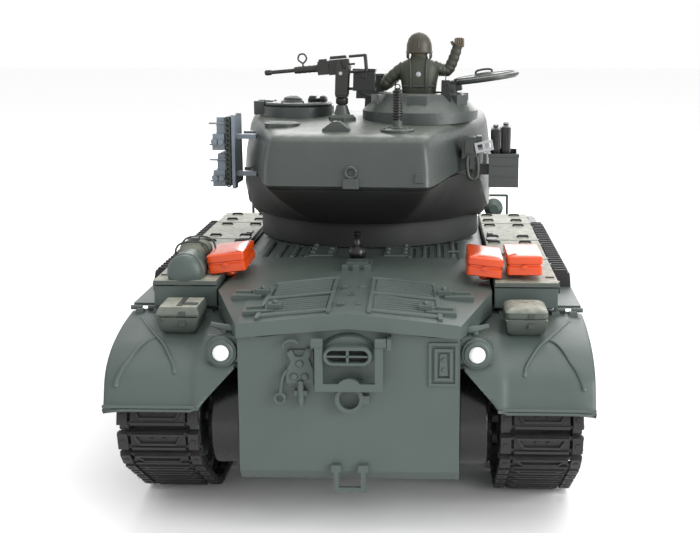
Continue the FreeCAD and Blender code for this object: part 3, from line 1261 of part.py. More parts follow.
# ---- write every part ----
def main():
    save("lower_hull", [lower_hull()])
    save("upper_hull", [upper_hull()])
    save("mudguards", [rear_mudguard(left), rear_mudguard(right), front_mudguard(left), front_mudguard(right)])
    save("fender_boxes", fender_boxes())
    save("fender_track_links", fender_track_links())
    save("orange_boxes", orange_boxes())
    save("lamp_lenses", lamp_lenses())
    save("hull_fittings", hull_fittings() + hull_hatches())
    save("travel_lock", [travel_lock()])
    save("final_drives", final_drives())
    save("drive_units", drive_units())
    save("battery_pack", battery_pack())
    save("battery_cover", battery_cover())
    save("electronics", electronics())
    save("power_switch", power_switch())
    save("hull_screws", hull_screws())
    save("idler_axles", idler_axles())
    save("return_rollers", return_rollers())
    for side, word in ((left, "left"), (right, "right")):
        save("track_" + word, track(side))
        save("sprocket_" + word, sprocket(side))
        save("idler_" + word, idler(side))
        for index in range(wheel_count):
            save("road_wheel_" + word + "_" + str(index + 1), road_wheel(side, index))
            save("suspension_arm_" + word + "_" + str(index + 1), suspension_arm(side, index))
    save_turret("turret_shell", turret_shell())
    save_turret("turret_fittings", turret_fittings() + [mg_pedestal()])
    save_turret("turret_track_rack", turret_track_rack())
    save_turret("elevation_unit", elevation_unit())
    save_turret("gun_mount", gun_mount())
    save_turret("gun_barrel", gun_barrel())
    save_turret("hatch_rings", cupola() + [loader_ring()])
    save_turret("commander_hatch", commander_hatch())
    save_turret("loader_hatch", loader_hatch())
    save_turret("mg_yoke", mg_yoke())
    save_turret("machine_gun", machine_gun())
    save_turret("figure", figure())


main()
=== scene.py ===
import bpy
import bmesh
import json
import math
from mathutils import Matrix, Vector, noise


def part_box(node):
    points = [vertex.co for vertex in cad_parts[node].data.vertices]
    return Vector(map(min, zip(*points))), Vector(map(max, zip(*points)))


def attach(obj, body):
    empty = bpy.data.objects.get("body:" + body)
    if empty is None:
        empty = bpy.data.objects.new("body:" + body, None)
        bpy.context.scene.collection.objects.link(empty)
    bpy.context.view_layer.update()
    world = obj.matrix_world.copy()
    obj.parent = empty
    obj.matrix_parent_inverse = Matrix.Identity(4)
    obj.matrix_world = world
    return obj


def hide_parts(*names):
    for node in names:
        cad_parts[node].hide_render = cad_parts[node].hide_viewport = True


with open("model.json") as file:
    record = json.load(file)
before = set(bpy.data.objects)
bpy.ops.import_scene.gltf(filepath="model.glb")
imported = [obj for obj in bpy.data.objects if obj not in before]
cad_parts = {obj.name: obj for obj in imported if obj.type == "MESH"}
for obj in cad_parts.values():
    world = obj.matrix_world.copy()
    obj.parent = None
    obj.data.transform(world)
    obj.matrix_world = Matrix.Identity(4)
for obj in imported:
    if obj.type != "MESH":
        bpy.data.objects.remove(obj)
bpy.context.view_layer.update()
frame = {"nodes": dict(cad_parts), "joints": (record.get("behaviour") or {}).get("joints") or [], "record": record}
print("frame loaded:", len(frame["nodes"]), "nodes")

mm = 0.001
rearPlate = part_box("lower_hull")[0].y  # the hull's rear plate, from which lengths are counted
joints = {joint["name"]: joint for joint in frame["joints"]}
turretAxis = Vector(joints["turret_traverse"]["pos_m"])
gunAxis = Vector(joints["gun_elevation"]["axis"])
turretYaw = math.atan2(gunAxis.y, gunAxis.x)

# millimetres from the rear plate and the ground, and millimetres about the turret's own axis
hullPlace = Matrix.Translation((0, rearPlate, 0)) @ Matrix.Scale(mm, 4)
turretPlace = (Matrix.Translation((turretAxis.x, turretAxis.y, 0)) @ Matrix.Rotation(turretYaw, 4, "Z")
               @ Matrix.Scale(mm, 4))


def linearColour(hexText):
    values = [int(hexText[i:i + 2], 16) / 255 for i in (1, 3, 5)]
    return [v / 12.92 if v <= 0.04045 else ((v + 0.055) / 1.055) ** 2.4 for v in values] + [1.0]


def addNode(tree, kind, inputs=None, **settings):
    node = tree.nodes.new(kind)
    for name, value in settings.items():
        setattr(node, name, value)
    for name, value in (inputs or {}).items():
        if isinstance(value, bpy.types.NodeSocket):  # another node's output
            tree.links.new(value, node.inputs[name])
        else:
            node.inputs[name].default_value = value
    return node


def startMaterial(name):
    material = bpy.data.materials.new(name)
    material.use_nodes = True
    tree = material.node_tree
    tree.nodes.clear()
    place = addNode(tree, "ShaderNodeTexCoord").outputs["Object"]
    return material, tree, place


def endMaterial(material, tree, **inputs):
    names = {"colour": "Base Color", "roughness": "Roughness", "metallic": "Metallic", "ior": "IOR",
             "normal": "Normal", "coat": "Coat Weight", "coatRoughness": "Coat Roughness",
             "transmission": "Transmission Weight", "sheen": "Sheen Weight"}
    shader = addNode(tree, "ShaderNodeBsdfPrincipled", {names[k]: v for k, v in inputs.items()})
    addNode(tree, "ShaderNodeOutputMaterial", {"Surface": shader.outputs["BSDF"]})
    return material


def sprayedPaint(name, look):
    # matt military paint sprayed on moulded plastic: a fine dusty grain, clouded tone and a paler colour on
    # what faces up, partly dust and partly a painted highlight
    material, tree, place = startMaterial(name)
    cloud = addNode(tree, "ShaderNodeTexNoise", {"Vector": place, "Scale": 1000 / look["cloudSize"],
                                                 "Detail": 4.0, "Roughness": 0.55})
    speck = addNode(tree, "ShaderNodeTexNoise", {"Vector": place, "Scale": 1000 / look["speckSize"],
                                                 "Detail": 2.0})
    tone = addNode(tree, "ShaderNodeMix", {0: cloud.outputs["Fac"], 6: linearColour(look["shade"]),
                                           7: linearColour(look["light"])}, data_type="RGBA")
    # faces turned up are mixed towards a paler colour: partly dust, partly a painted highlight for light glancing
    # off tops
    facing = addNode(tree, "ShaderNodeNewGeometry")
    up = addNode(tree, "ShaderNodeSeparateXYZ", {"Vector": facing.outputs["Normal"]})
    flat = addNode(tree, "ShaderNodeMapRange", {"Value": up.outputs["Z"], "From Min": 0.55, "From Max": 1.0,
                                                "To Min": 0.0, "To Max": look["dustAndSheen"]})
    patch = addNode(tree, "ShaderNodeMath", {0: flat.outputs["Result"], 1: speck.outputs["Fac"]},
                    operation="MULTIPLY")
    dustAndSheenTone = addNode(tree, "ShaderNodeMix", {0: patch.outputs["Value"], 6: tone.outputs[2],
                                            7: linearColour(look["dustAndSheenColour"])}, data_type="RGBA")
    rough = addNode(tree, "ShaderNodeMapRange", {"Value": cloud.outputs["Fac"], "From Min": 0.3,
                                                 "From Max": 0.7, "To Min": look["roughness"] - 0.06,
                                                 "To Max": look["roughness"] + 0.06})
    grain = addNode(tree, "ShaderNodeTexNoise", {"Vector": place, "Scale": 1000 / look["grainSize"],
                                                 "Detail": 3.0})
    bump = addNode(tree, "ShaderNodeBump", {"Height": grain.outputs["Fac"], "Strength": look["grain"],
                                            "Distance": look["grainDepth"] * mm})
    return endMaterial(material, tree, colour=dustAndSheenTone.outputs[2], roughness=rough.outputs["Result"], ior=1.5,
                       normal=bump.outputs["Normal"])


# moulded ABS under a matt acrylic spray: a dry, even skin with soft highlights
hullPaint = sprayedPaint("sprayed_hull_paint", {
    "shade": "#3c4743", "light": "#4a5551", "dustAndSheenColour": "#666c65", "dustAndSheen": 0.25, "cloudSize": 38.0,
    "speckSize": 5.0, "roughness": 0.46, "grainSize": 0.9, "grain": 0.25, "grainDepth": 0.12})
# ABS with a cast texture under satin spray: a faint orange peel and long soft highlights, the roof painted paler
# as a highlight
turretPaint = sprayedPaint("cast_turret_paint", {
    "shade": "#323836", "light": "#3f4542", "dustAndSheenColour": "#969b90", "dustAndSheen": 0.5, "cloudSize": 26.0,
    "speckSize": 4.0, "roughness": 0.38, "grainSize": 2.4, "grain": 0.5, "grainDepth": 0.3})
# sprayed boxes: the tops painted pale and mottled as a highlight over darker sides
boxPaint = sprayedPaint("stowage_box_paint", {
    "shade": "#3c4440", "light": "#4b524d", "dustAndSheenColour": "#b9b8a6", "dustAndSheen": 0.95, "cloudSize": 22.0,
    "speckSize": 4.0, "roughness": 0.56, "grainSize": 0.8, "grain": 0.25, "grainDepth": 0.1})
# moulded nylon links: near black and slightly rough
trackPlastic = sprayedPaint("moulded_track_plastic", {
    "shade": "#121112", "light": "#262324", "dustAndSheenColour": "#3c3836", "dustAndSheen": 0.35, "cloudSize": 9.0,
    "speckSize": 3.0, "roughness": 0.6, "grainSize": 0.7, "grain": 0.35, "grainDepth": 0.12})
# dark satin spray on wheels and arms, dulled by dust
darkPaint = sprayedPaint("dark_running_gear_paint", {
    "shade": "#2b302d", "light": "#3a403c", "dustAndSheenColour": "#5b6058", "dustAndSheen": 0.35, "cloudSize": 14.0,
    "speckSize": 3.0, "roughness": 0.5, "grainSize": 0.8, "grain": 0.25, "grainDepth": 0.1})
# gun-metal enamel on moulded plastic: almost black with a low sheen
gunPaint = sprayedPaint("gun_metal_paint", {
    "shade": "#161815", "light": "#232521", "dustAndSheenColour": "#3a3c36", "dustAndSheen": 0.2, "cloudSize": 7.0,
    "speckSize": 2.0, "roughness": 0.42, "grainSize": 0.5, "grain": 0.2, "grainDepth": 0.06})
# polished moulded ABS: saturated orange under a sharp white reflection
orangePlastic = sprayedPaint("glossy_orange_plastic", {
    "shade": "#c43800", "light": "#d34a06", "dustAndSheenColour": "#e8743a", "dustAndSheen": 0.1, "cloudSize": 18.0,
    "speckSize": 4.0, "roughness": 0.16, "grainSize": 3.0, "grain": 0.1, "grainDepth": 0.05})
# glossy moulded ABS: deep black with clear reflections
blackGloss = sprayedPaint("glossy_black_plastic", {
    "shade": "#070708", "light": "#0f1011", "dustAndSheenColour": "#34363a", "dustAndSheen": 0.2, "cloudSize": 12.0,
    "speckSize": 3.0, "roughness": 0.28, "grainSize": 2.0, "grain": 0.1, "grainDepth": 0.05})
# frosted moulded polystyrene: a milky white disc
lensPlastic = sprayedPaint("frosted_lens_plastic", {
    "shade": "#dfe2e4", "light": "#f2f4f5", "dustAndSheenColour": "#ffffff", "dustAndSheen": 0.2, "cloudSize": 3.0,
    "speckSize": 1.0, "roughness": 0.12, "grainSize": 0.8, "grain": 0.2, "grainDepth": 0.05})
# cast vinyl brushed with acrylic: a mottled olive cloth
figurePaint = sprayedPaint("figure_uniform_paint", {
    "shade": "#26291f", "light": "#363a2d", "dustAndSheenColour": "#50543f", "dustAndSheen": 0.25, "cloudSize": 5.0,
    "speckSize": 1.5, "roughness": 0.5, "grainSize": 0.6, "grain": 0.3, "grainDepth": 0.08})
# steel paint on moulded plastic: a cool blue-grey, its tops painted paler as a highlight
rackPaint = sprayedPaint("steel_rack_paint", {
    "shade": "#5a646c", "light": "#7e8992", "dustAndSheenColour": "#c8d0d6", "dustAndSheen": 0.4, "cloudSize": 6.0,
    "speckSize": 2.0, "roughness": 0.35, "grainSize": 0.8, "grain": 0.25, "grainDepth": 0.08})
# zinc-plated steel: a bright, cloudy grey
zincSteel = sprayedPaint("zinc_plated_screws", {
    "shade": "#8d9093", "light": "#a9acae", "dustAndSheenColour": "#c0c2c3", "dustAndSheen": 0.2, "cloudSize": 3.0,
    "speckSize": 1.0, "roughness": 0.3, "grainSize": 0.4, "grain": 0.1, "grainDepth": 0.03})
# shrunk PVC wrap round the cells: smooth saturated blue with a soft shine
bluePlastic = sprayedPaint("battery_wrap", {
    "shade": "#1f3f8a", "light": "#2a4fa3", "dustAndSheenColour": "#6c86c0", "dustAndSheen": 0.1, "cloudSize": 20.0,
    "speckSize": 4.0, "roughness": 0.25, "grainSize": 3.0, "grain": 0.05, "grainDepth": 0.03})
# solder resist screened on a glass-fibre board: an even green sheen
boardResist = sprayedPaint("green_board_resist", {
    "shade": "#0f5a32", "light": "#17703f", "dustAndSheenColour": "#4c9a70", "dustAndSheen": 0.1, "cloudSize": 6.0,
    "speckSize": 1.0, "roughness": 0.3, "grainSize": 1.0, "grain": 0.1, "grainDepth": 0.03})
# dull plastic painted nearly black as shade, for the turret's underside and the exhaust's mouth
paintedShadePaint = sprayedPaint("painted_shade_dark_paint", {
    "shade": "#0f1211", "light": "#171a19", "dustAndSheenColour": "#3b403c", "dustAndSheen": 0.0, "cloudSize": 30.0,
    "speckSize": 4.0, "roughness": 0.7, "grainSize": 1.2, "grain": 0.25, "grainDepth": 0.1})
# rolled canvas, painted: coarse, without shine
canvasRoll = sprayedPaint("painted_canvas_bundle", {
    "shade": "#4c5046", "light": "#62665a", "dustAndSheenColour": "#8b8d7e", "dustAndSheen": 0.5, "cloudSize": 8.0,
    "speckSize": 1.5, "roughness": 0.72, "grainSize": 0.5, "grain": 0.5, "grainDepth": 0.12})
# cast vinyl brushed with acrylic: soft brown with a faint sheen
skinPaint = sprayedPaint("brush_painted_skin", {
    "shade": "#4a4133", "light": "#5b5040", "dustAndSheenColour": "#6d604c", "dustAndSheen": 0.2, "cloudSize": 3.0,
    "speckSize": 0.8, "roughness": 0.5, "grainSize": 0.5, "grain": 0.15, "grainDepth": 0.04})
# cast vinyl brushed with acrylic: dark brown, paler where it faces up
helmetPaint = sprayedPaint("brown_helmet_paint", {
    "shade": "#2e2c22", "light": "#3d3a2d", "dustAndSheenColour": "#5a5644", "dustAndSheen": 0.25, "cloudSize": 4.0,
    "speckSize": 1.0, "roughness": 0.45, "grainSize": 0.5, "grain": 0.2, "grainDepth": 0.05})
# dark brass enamel on moulded rounds: small dull highlights
beltBrass = sprayedPaint("brass_painted_rounds", {
    "shade": "#1e1d19", "light": "#2e2c25", "dustAndSheenColour": "#4a473c", "dustAndSheen": 0.2, "cloudSize": 2.0,
    "speckSize": 0.6, "roughness": 0.35, "grainSize": 0.4, "grain": 0.1, "grainDepth": 0.03})
# satin enamel on moulded lids: darker than the casting round them
hatchPaint = sprayedPaint("satin_hatch_paint", {
    "shade": "#262c29", "light": "#343a36", "dustAndSheenColour": "#5c625a", "dustAndSheen": 0.45, "cloudSize": 9.0,
    "speckSize": 2.0, "roughness": 0.4, "grainSize": 0.7, "grain": 0.25, "grainDepth": 0.08})
slotMaterials = {
    "hull_plastic": hullPaint, "fitting_plastic": hullPaint, "turret_plastic": turretPaint,
    "barrel_metal": turretPaint, "box_plastic": boxPaint, "orange_plastic": orangePlastic,
    "track_plastic": trackPlastic, "rack_metal": rackPaint, "lens_plastic": lensPlastic,
    "drive_plastic": blackGloss, "wheel_plastic": darkPaint, "arm_plastic": darkPaint, "mg_plastic": gunPaint,
    "figure_plastic": figurePaint, "cell_wrap": bluePlastic, "board": boardResist,
    "switch_plastic": blackGloss, "screw_steel": zincSteel}
print("materials made:", len(bpy.data.materials))

# every carried-over node takes the material of its slot
for part in frame["record"]["subparts"]:
    node = frame["nodes"][part["node"]]
    node.data.materials.clear()
    node.data.materials.append(slotMaterials[part["material_slot"]])


# every shape is drawn in millimetres and put in place when it is finished
def addBlock(shape, low, high, taper=0.0, turn=None):
    (x0, y0, z0), (x1, y1, z1) = low, high
    corners = [(x0, y0, z0), (x1, y0, z0), (x1, y1, z0), (x0, y1, z0),
               (x0 + taper, y0 + taper, z1), (x1 - taper, y0 + taper, z1),
               (x1 - taper, y1 - taper, z1), (x0 + taper, y1 - taper, z1)]
    if turn:
        corners = [turn @ Vector(c) for c in corners]
    verts = [shape.verts.new(c) for c in corners]
    for face in ((3, 2, 1, 0), (4, 5, 6, 7), (0, 1, 5, 4), (1, 2, 6, 5), (2, 3, 7, 6), (3, 0, 4, 7)):
        shape.faces.new([verts[i] for i in face])
    return verts


def addPrism(shape, outline, run):
    # outline is a ring of points, drawn out along run
    near = [shape.verts.new(p) for p in outline]
    far = [shape.verts.new(Vector(p) + Vector(run)) for p in outline]
    shape.faces.new(near[::-1])
    shape.faces.new(far)
    for i in range(len(near)):
        j = (i + 1) % len(near)
        shape.faces.new((near[i], near[j], far[j], far[i]))


def addTurned(shape, profile, base, axis=(0, 0, 1), steps=32):
    # profile is (distance along the axis, radius), open at neither end
    along = Vector(axis).normalized()
    side = along.orthogonal().normalized()
    other = along.cross(side)
    rings = []
    for distance, radius in profile:
        centre = Vector(base) + along * distance
        if radius < 1e-6:
            rings.append([shape.verts.new(centre)])
        else:
            rings.append([shape.verts.new(centre + (side * math.cos(a) + other * math.sin(a)) * radius)
                          for a in (2 * math.pi * k / steps for k in range(steps))])
    for near, far in zip(rings[:-1], rings[1:]):
        for k in range(steps):
            n = (k + 1) % steps
            ring = [near[k % len(near)], near[n % len(near)], far[n % len(far)], far[k % len(far)]]
            unique = []
            for v in ring:
                if v not in unique:
                    unique.append(v)
            if len(unique) > 2:
                shape.faces.new(unique)
    if len(rings[0]) > 1 and tuple(profile[0]) != tuple(profile[-1]):
        shape.faces.new(rings[0][::-1])
    if len(rings[-1]) > 1 and tuple(profile[0]) != tuple(profile[-1]):
        shape.faces.new(rings[-1])


def addBar(shape, path, radius, steps=10):
    # a round bar along a line of points; radius may be one number or one for each point
    path = [Vector(p) for p in path]
    radii = radius if isinstance(radius, (list, tuple)) else [radius] * len(path)
    rings = []
    side = None
    for i, p in enumerate(path):
        ahead = (path[min(i + 1, len(path) - 1)] - path[max(i - 1, 0)]).normalized()
        side = ahead.orthogonal().normalized() if side is None else (side - ahead
                                                                     * side.dot(ahead)).normalized()
        other = ahead.cross(side)
        rings.append([shape.verts.new(p + (side * math.cos(a) + other * math.sin(a)) * radii[i])
                      for a in (2 * math.pi * k / steps for k in range(steps))])
    for near, far in zip(rings[:-1], rings[1:]):
        for k in range(steps):
            n = (k + 1) % steps
            shape.faces.new((near[k], near[n], far[n], far[k]))
    shape.faces.new(rings[0][::-1])
    shape.faces.new(rings[-1])


def addSkin(shape, rows, closedRows=False, capEnds=False):
    # a surface through rows of points
    grid = [[shape.verts.new(p) for p in row] for row in rows]
    for near, far in zip(grid[:-1], grid[1:]):
        count = len(near) if closedRows else len(near) - 1
        for k in range(count):
            n = (k + 1) % len(near)
            shape.faces.new((near[k], near[n], far[n], far[k]))
    if capEnds:
        shape.faces.new(grid[0][::-1])
        shape.faces.new(grid[-1])
    return grid


def smoothLine(points, perRun=6, closed=False):
    # a Catmull-Rom line through the points
    points = [Vector(p) for p in points]
    count = len(points)
    line = []
    for i in range(count if closed else count - 1):
        a, b, c, d = [points[(i + k) % count] if closed else points[min(max(i + k, 0), count - 1)]
                      for k in (-1, 0, 1, 2)]
        for s in range(perRun):
            t = s / perRun
            line.append(0.5 * ((2 * b) + (c - a) * t + (2 * a - 5 * b + 4 * c - d) * t * t
                               + (3 * b - a - 3 * c + d) * t * t * t))
    if not closed:
        line.append(points[-1])
    return line


def finishPiece(name, shape, place, body, material, bevel=0.25, sharp=35.0, standsFor=(),
                subdivide=0, thickness=0.0, segments=2):
    bmesh.ops.recalc_face_normals(shape, faces=shape.faces)
    shape.transform(place)
    mesh = bpy.data.meshes.new(name)
    shape.to_mesh(mesh)
    shape.free()
    mesh.materials.append(material)
    piece = bpy.data.objects.new(name, mesh)
    bpy.context.scene.collection.objects.link(piece)
    mesh.shade_smooth()
    if thickness:
        wall = piece.modifiers.new("wall", "SOLIDIFY")
        wall.thickness = thickness * mm
        wall.offset = -1.0
    if subdivide:
        rounder = piece.modifiers.new("rounder", "SUBSURF")
        rounder.levels = subdivide
        rounder.render_levels = subdivide
    if bevel:
        edge = piece.modifiers.new("edge", "BEVEL")
        edge.width = bevel * mm
        edge.segments = segments
        edge.limit_method = "ANGLE"
        edge.angle_limit = math.radians(sharp)
        edge.use_clamp_overlap = True
        edge.harden_normals = True
    mesh.set_sharp_from_angle(angle=math.radians(sharp))
    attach(piece, body)
    if standsFor:
        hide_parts(*standsFor)
    return piece


def looseParts(shape):
    # the vertices of each loose part of a shape
    seen, islands = set(), []
    for v in shape.verts:
        if v in seen:
            continue
        stack, island = [v], []
        seen.add(v)
        while stack:
            here = stack.pop()
            island.append(here)
            for e in here.link_edges:
                other = e.other_vert(here)
                if other not in seen:
                    seen.add(other)
                    stack.append(other)
        islands.append(island)
    return islands


def dropIslands(shape, boxes, place):
    # takes out the loose parts whose middle lies in one of the boxes, because they are modelled anew
    back = place.inverted()
    for island in looseParts(shape):
        points = [back @ v.co for v in island]
        middle = [(min(p[i] for p in points) + max(p[i] for p in points)) / 2 for i in range(3)]
        if any(all(low <= m <= high for m, low, high in zip(middle, box[::2], box[1::2])) for box in boxes):
            bmesh.ops.delete(shape, geom=island, context="VERTS")


def softCopy(nodeName, material, bevel=0.25, without=(), place=hullPlace):
    # the moulded piece with its edges slightly rounded
    shape = bmesh.new()
    shape.from_mesh(frame["nodes"][nodeName].data)
    bmesh.ops.remove_doubles(shape, verts=shape.verts, dist=0.002 * mm)
    if without:
        dropIslands(shape, without, place)
    bmesh.ops.dissolve_limit(shape, angle_limit=math.radians(0.8), verts=shape.verts, edges=shape.edges)
    body = next(b for b, members in frame["record"]["behaviour"]["bodies"].items() if nodeName in members)
    return finishPiece(nodeName + "_finished", shape, Matrix.Identity(4), body, material, bevel=bevel,
                       standsFor=(nodeName,))


deckLook = {"lipSide": 99.9, "lipCentre": 105.0, "foldSide": 105.5, "foldCentre": 108.5,
            "foldSideAhead": 47.0, "foldCentreAhead": 66.0, "upperAhead": 107.0, "deckHeight": 109.5,
            "halfWidth": 50.0, "slatPitch": 2.7, "slatWidth": 1.5, "slatRise": 0.75, "spineHalf": 8.6}


def deckFold(across):
    # how far ahead the fold lies, and its height, at a distance across
    share = max(0.0, 1.0 - abs(across) / deckLook["halfWidth"])
    ease = share ** 0.8
    ahead = deckLook["foldSideAhead"] + (deckLook["foldCentreAhead"]
                                         - deckLook["foldSideAhead"]) * min(1.0, ease * 1.35)
    return ahead, deckLook["foldSide"] + (deckLook["foldCentre"]
                                          - deckLook["foldSide"]) * min(1.0, ease * 1.2)


def deckTop(across, ahead):
    # height of the engine deck between its rear lip and its fold
    lip = deckLook["lipCentre"] + (deckLook["lipSide"]
                                   - deckLook["lipCentre"]) * abs(across) / deckLook["halfWidth"]
    foldAhead, foldHeight = deckFold(across)
    return lip + (foldHeight - lip) * (ahead + 4.0) / (foldAhead + 4.0)


def addDeckStrip(shape, across0, across1, line, width, rise, sink=1.6, steps=8):
    # a low bar lying on the deck from one side to another; line gives how far ahead it is at each place
    # across
    sections = []
    for k in range(steps + 1):
        x = across0 + (across1 - across0) * k / steps
        y = line(x)
        section = [(x, y - width / 2, deckTop(x, y - width / 2) - sink),
                   (x, y - width / 2, deckTop(x, y - width / 2) + rise * 0.45),
                   (x, y - width / 4, deckTop(x, y) + rise), (x, y + width / 2,
                                                              deckTop(x, y + width / 2) + rise),
                   (x, y + width / 2, deckTop(x, y + width / 2) - sink)]
        sections.append(section)
    addSkin(shape, sections, closedRows=True, capEnds=True)


def engineLouvres():
    # two fields of louvre slats each side of the deck's spine, with a rib between them
    shape = bmesh.new()
    look = deckLook
    for side in (-1, 1):
        for fieldStart, fieldEnd in ((5.0, 23.0), (28.0, 44.5)):
            count = int((fieldEnd - fieldStart) / look["slatPitch"])
            for k in range(count + 1):
                def line(x, base=fieldStart + k * look["slatPitch"]):
                    bow = (deckFold(x)[0] - look["foldSideAhead"]) / look["foldSideAhead"]
                    return base * (1 + bow * 0.55)
                outer = 37.0 if fieldStart > 20 else 39.5
                addDeckStrip(shape, side * 10.6, side * outer, line, look["slatWidth"], look["slatRise"])
    return finishPiece("engine_louvres", shape, hullPlace, "hull", hullPaint, bevel=0.15, sharp=40)


def engineDeckFrames():
    # raised frames round the louvres, the centre spine with its covers, and the rib across
    shape = bmesh.new()
    look = deckLook
    for side in (-1, 1):
        for base, width, rise in ((2.4, 2.2, 1.2), (25.6, 2.6, 1.3), (45.9, 2.4, 1.4)):
            def line(x, base=base):
                bow = (deckFold(x)[0] - look["foldSideAhead"]) / look["foldSideAhead"]
                return base * (1 + bow * 0.6)
            outer = 40.0 if base < 40 else 38.0
            addDeckStrip(shape, side * 8.0, side * outer, line, width, rise)
        for inner, outer in ((8.2, 10.0), (40.0, 42.2)):
            rows = []
            for k in range(11):
                y = -1.0 + 47.0 * k / 10 * (1.22 if inner < 20 else 1.0)
                taper = -k * 0.22 if inner > 20 else 0.0
                section = [(side * (inner + taper), y, deckTop(inner, y) - 1.6),
                           (side * (inner + taper), y, deckTop(inner, y) + 1.2),
                           (side * (outer + taper), y, deckTop(outer, y) + 1.2),
                           (side * (outer + taper), y, deckTop(outer, y) - 1.6)]
                rows.append(section)
            addSkin(shape, rows, closedRows=True, capEnds=True)
        for x0, x1, y0, y1 in ((2.2, 5.8, 10.0, 16.0), (2.2, 5.8, 40.0, 46.0), (-1.6, 1.6, 26.0, 29.0)):
            z = deckTop((x0 + x1) / 2, (y0 + y1) / 2)
            addBlock(shape, (side * x0, y0, z - 1.5), (side * x1, y1, z + 0.9),
                     taper=0.5 if side > 0 else 0.0)
    return finishPiece("engine_deck_frames", shape, hullPlace, "hull", hullPaint, bevel=0.25)


def deckHingePads():
    # two stepped hinge pads each side, with a raised block and a bolt on each
    shape = bmesh.new()
    for side in (-1, 1):
        for inner, outer, y0, y1 in ((43.0, 57.0, 30.0, 42.0), (34.5, 48.5, 6.5, 18.0)):
            mid = (y0 + y1) / 2
            z = deckTop(min(inner, 49), mid)
            zOut = deckTop(min(outer, 50), mid)
            addPrism(shape, [(side * inner, y0, z - 2), (side * inner, y0, z + 1.0),
                             (side * outer, y0, zOut + 1.4), (side * outer, y0, zOut - 3)], (0, y1 - y0, 0))
            addPrism(shape, [(side * (inner - 3.4), mid - 3.2, z - 1),
                             (side * (inner - 3.4), mid - 3.2, z + 3.0),
                             (side * (inner + 3.0), mid - 3.2, z + 3.2),
                             (side * (inner + 3.0), mid - 3.2, z - 1)], (0, 6.4, 0))
            addPrism(shape, [(side * (inner + 4.5), mid - 1.3, z - 1),
                             (side * (inner + 4.5), mid - 1.3, z + 2.2),
                             (side * (outer - 1.5), mid - 1.3, zOut + 2.6),
                             (side * (outer - 1.5), mid - 1.3, zOut - 1)], (0, 2.6, 0))
            addTurned(shape, [(0, 1.2), (1.0, 1.2), (1.6, 0.8), (1.6, 0)],
                      (side * (inner - 0.2), mid, z + 3.0), steps=12)
    return finishPiece("deck_hinge_pads", shape, hullPlace, "hull", hullPaint, bevel=0.3)


def upperDeckDetails():
    # castellated mount on the middle line, filler caps, low bolted panels and deck bolts behind the turret
    shape = bmesh.new()
    z = deckLook["deckHeight"]
    for x0, x1, y0, y1, rise in ((-9.0, 6.4, 78.0, 100.0, 1.2), (-8.6, -5.2, 76.0, 79.5, 2.6),
                                 (-3.2, 0.4, 76.0, 79.5, 2.6), (2.6, 6.2, 76.0, 79.5, 2.6),
                                 (-7.0, 4.4, 84.0, 96.0, 2.2)):
        height = z - (deckLook["upperAhead"] - (y0 + y1) / 2) * 0.022
        addBlock(shape, (x0, y0, height - 2.5), (x1, y1, height + rise), taper=0.3)
    for x0, x1, y0, y1 in ((-29.0, -15.0, 112.0, 146.0), (11.0, 25.0, 112.0, 146.0)):
        addBlock(shape, (x0, y0, z - 1), (x1, y1, z + 0.7), taper=0.4)
        for k in range(3):
            for edge in (x0 + 2.4, x1 - 2.4):
                addTurned(shape, [(0, 1.5), (0.9, 1.5), (1.5, 0.9), (1.5, 0)],
                          (edge, y0 + 5 + k * 11.0, z + 0.6), steps=6)
    for side in (-1, 1):
        for k in range(4):
            across = 27.5 + k * 7.6
            edge = 198.5 - math.sqrt(64.5 ** 2 - across ** 2) - 2.0
            addBlock(shape, (side * across - 3.1, 108.4, z - 1),
                     (side * across - 1.2, edge, z + 0.8), taper=0.2)
    return finishPiece("upper_deck_details", shape, hullPlace, "hull", hullPaint, bevel=0.25)


mudguardLook = {"profile": ((57.8, 93.6), (40, 91.95), (27, 89.65), (15.9, 86.75), (8, 83.35), (2, 79.35),
                            (-2, 74.6), (-4.2, 69.5), (-5.6, 64.8), (-6.8, 62.6), (-8.0, 62.0)),
                "inner": 50.7, "outer": 110.6, "crease": 70.0, "creaseRise": 1.1, "wall": 1.5}


def mudguardPoint(along, across, lift=0.0):
    # along runs 0..1 down the curve, across is the distance from the middle; lift stands it off the sheet
    line = mudguardLook["line"]
    place = along * (len(line) - 1)
    k = min(int(place), len(line) - 2)
    here, after = line[k], line[k + 1]
    spot = here.lerp(after, place - k)
    run = (after - here).normalized()
    # the sheet is slightly crowned towards its outer edge and steps up inboard of the crease
    edge = max(0.0, (across - 100.0) / 11.0)
    drop = -1.4 * edge * edge
    step = mudguardLook["creaseRise"] / (1 + math.exp((across - mudguardLook["crease"])
                                                      * 2.2)) - mudguardLook["creaseRise"]
    normal = Vector((0, -abs(run.z), abs(run.y)))
    return Vector((across, spot.y, spot.z)) + normal * (lift + drop + step * 0.8)


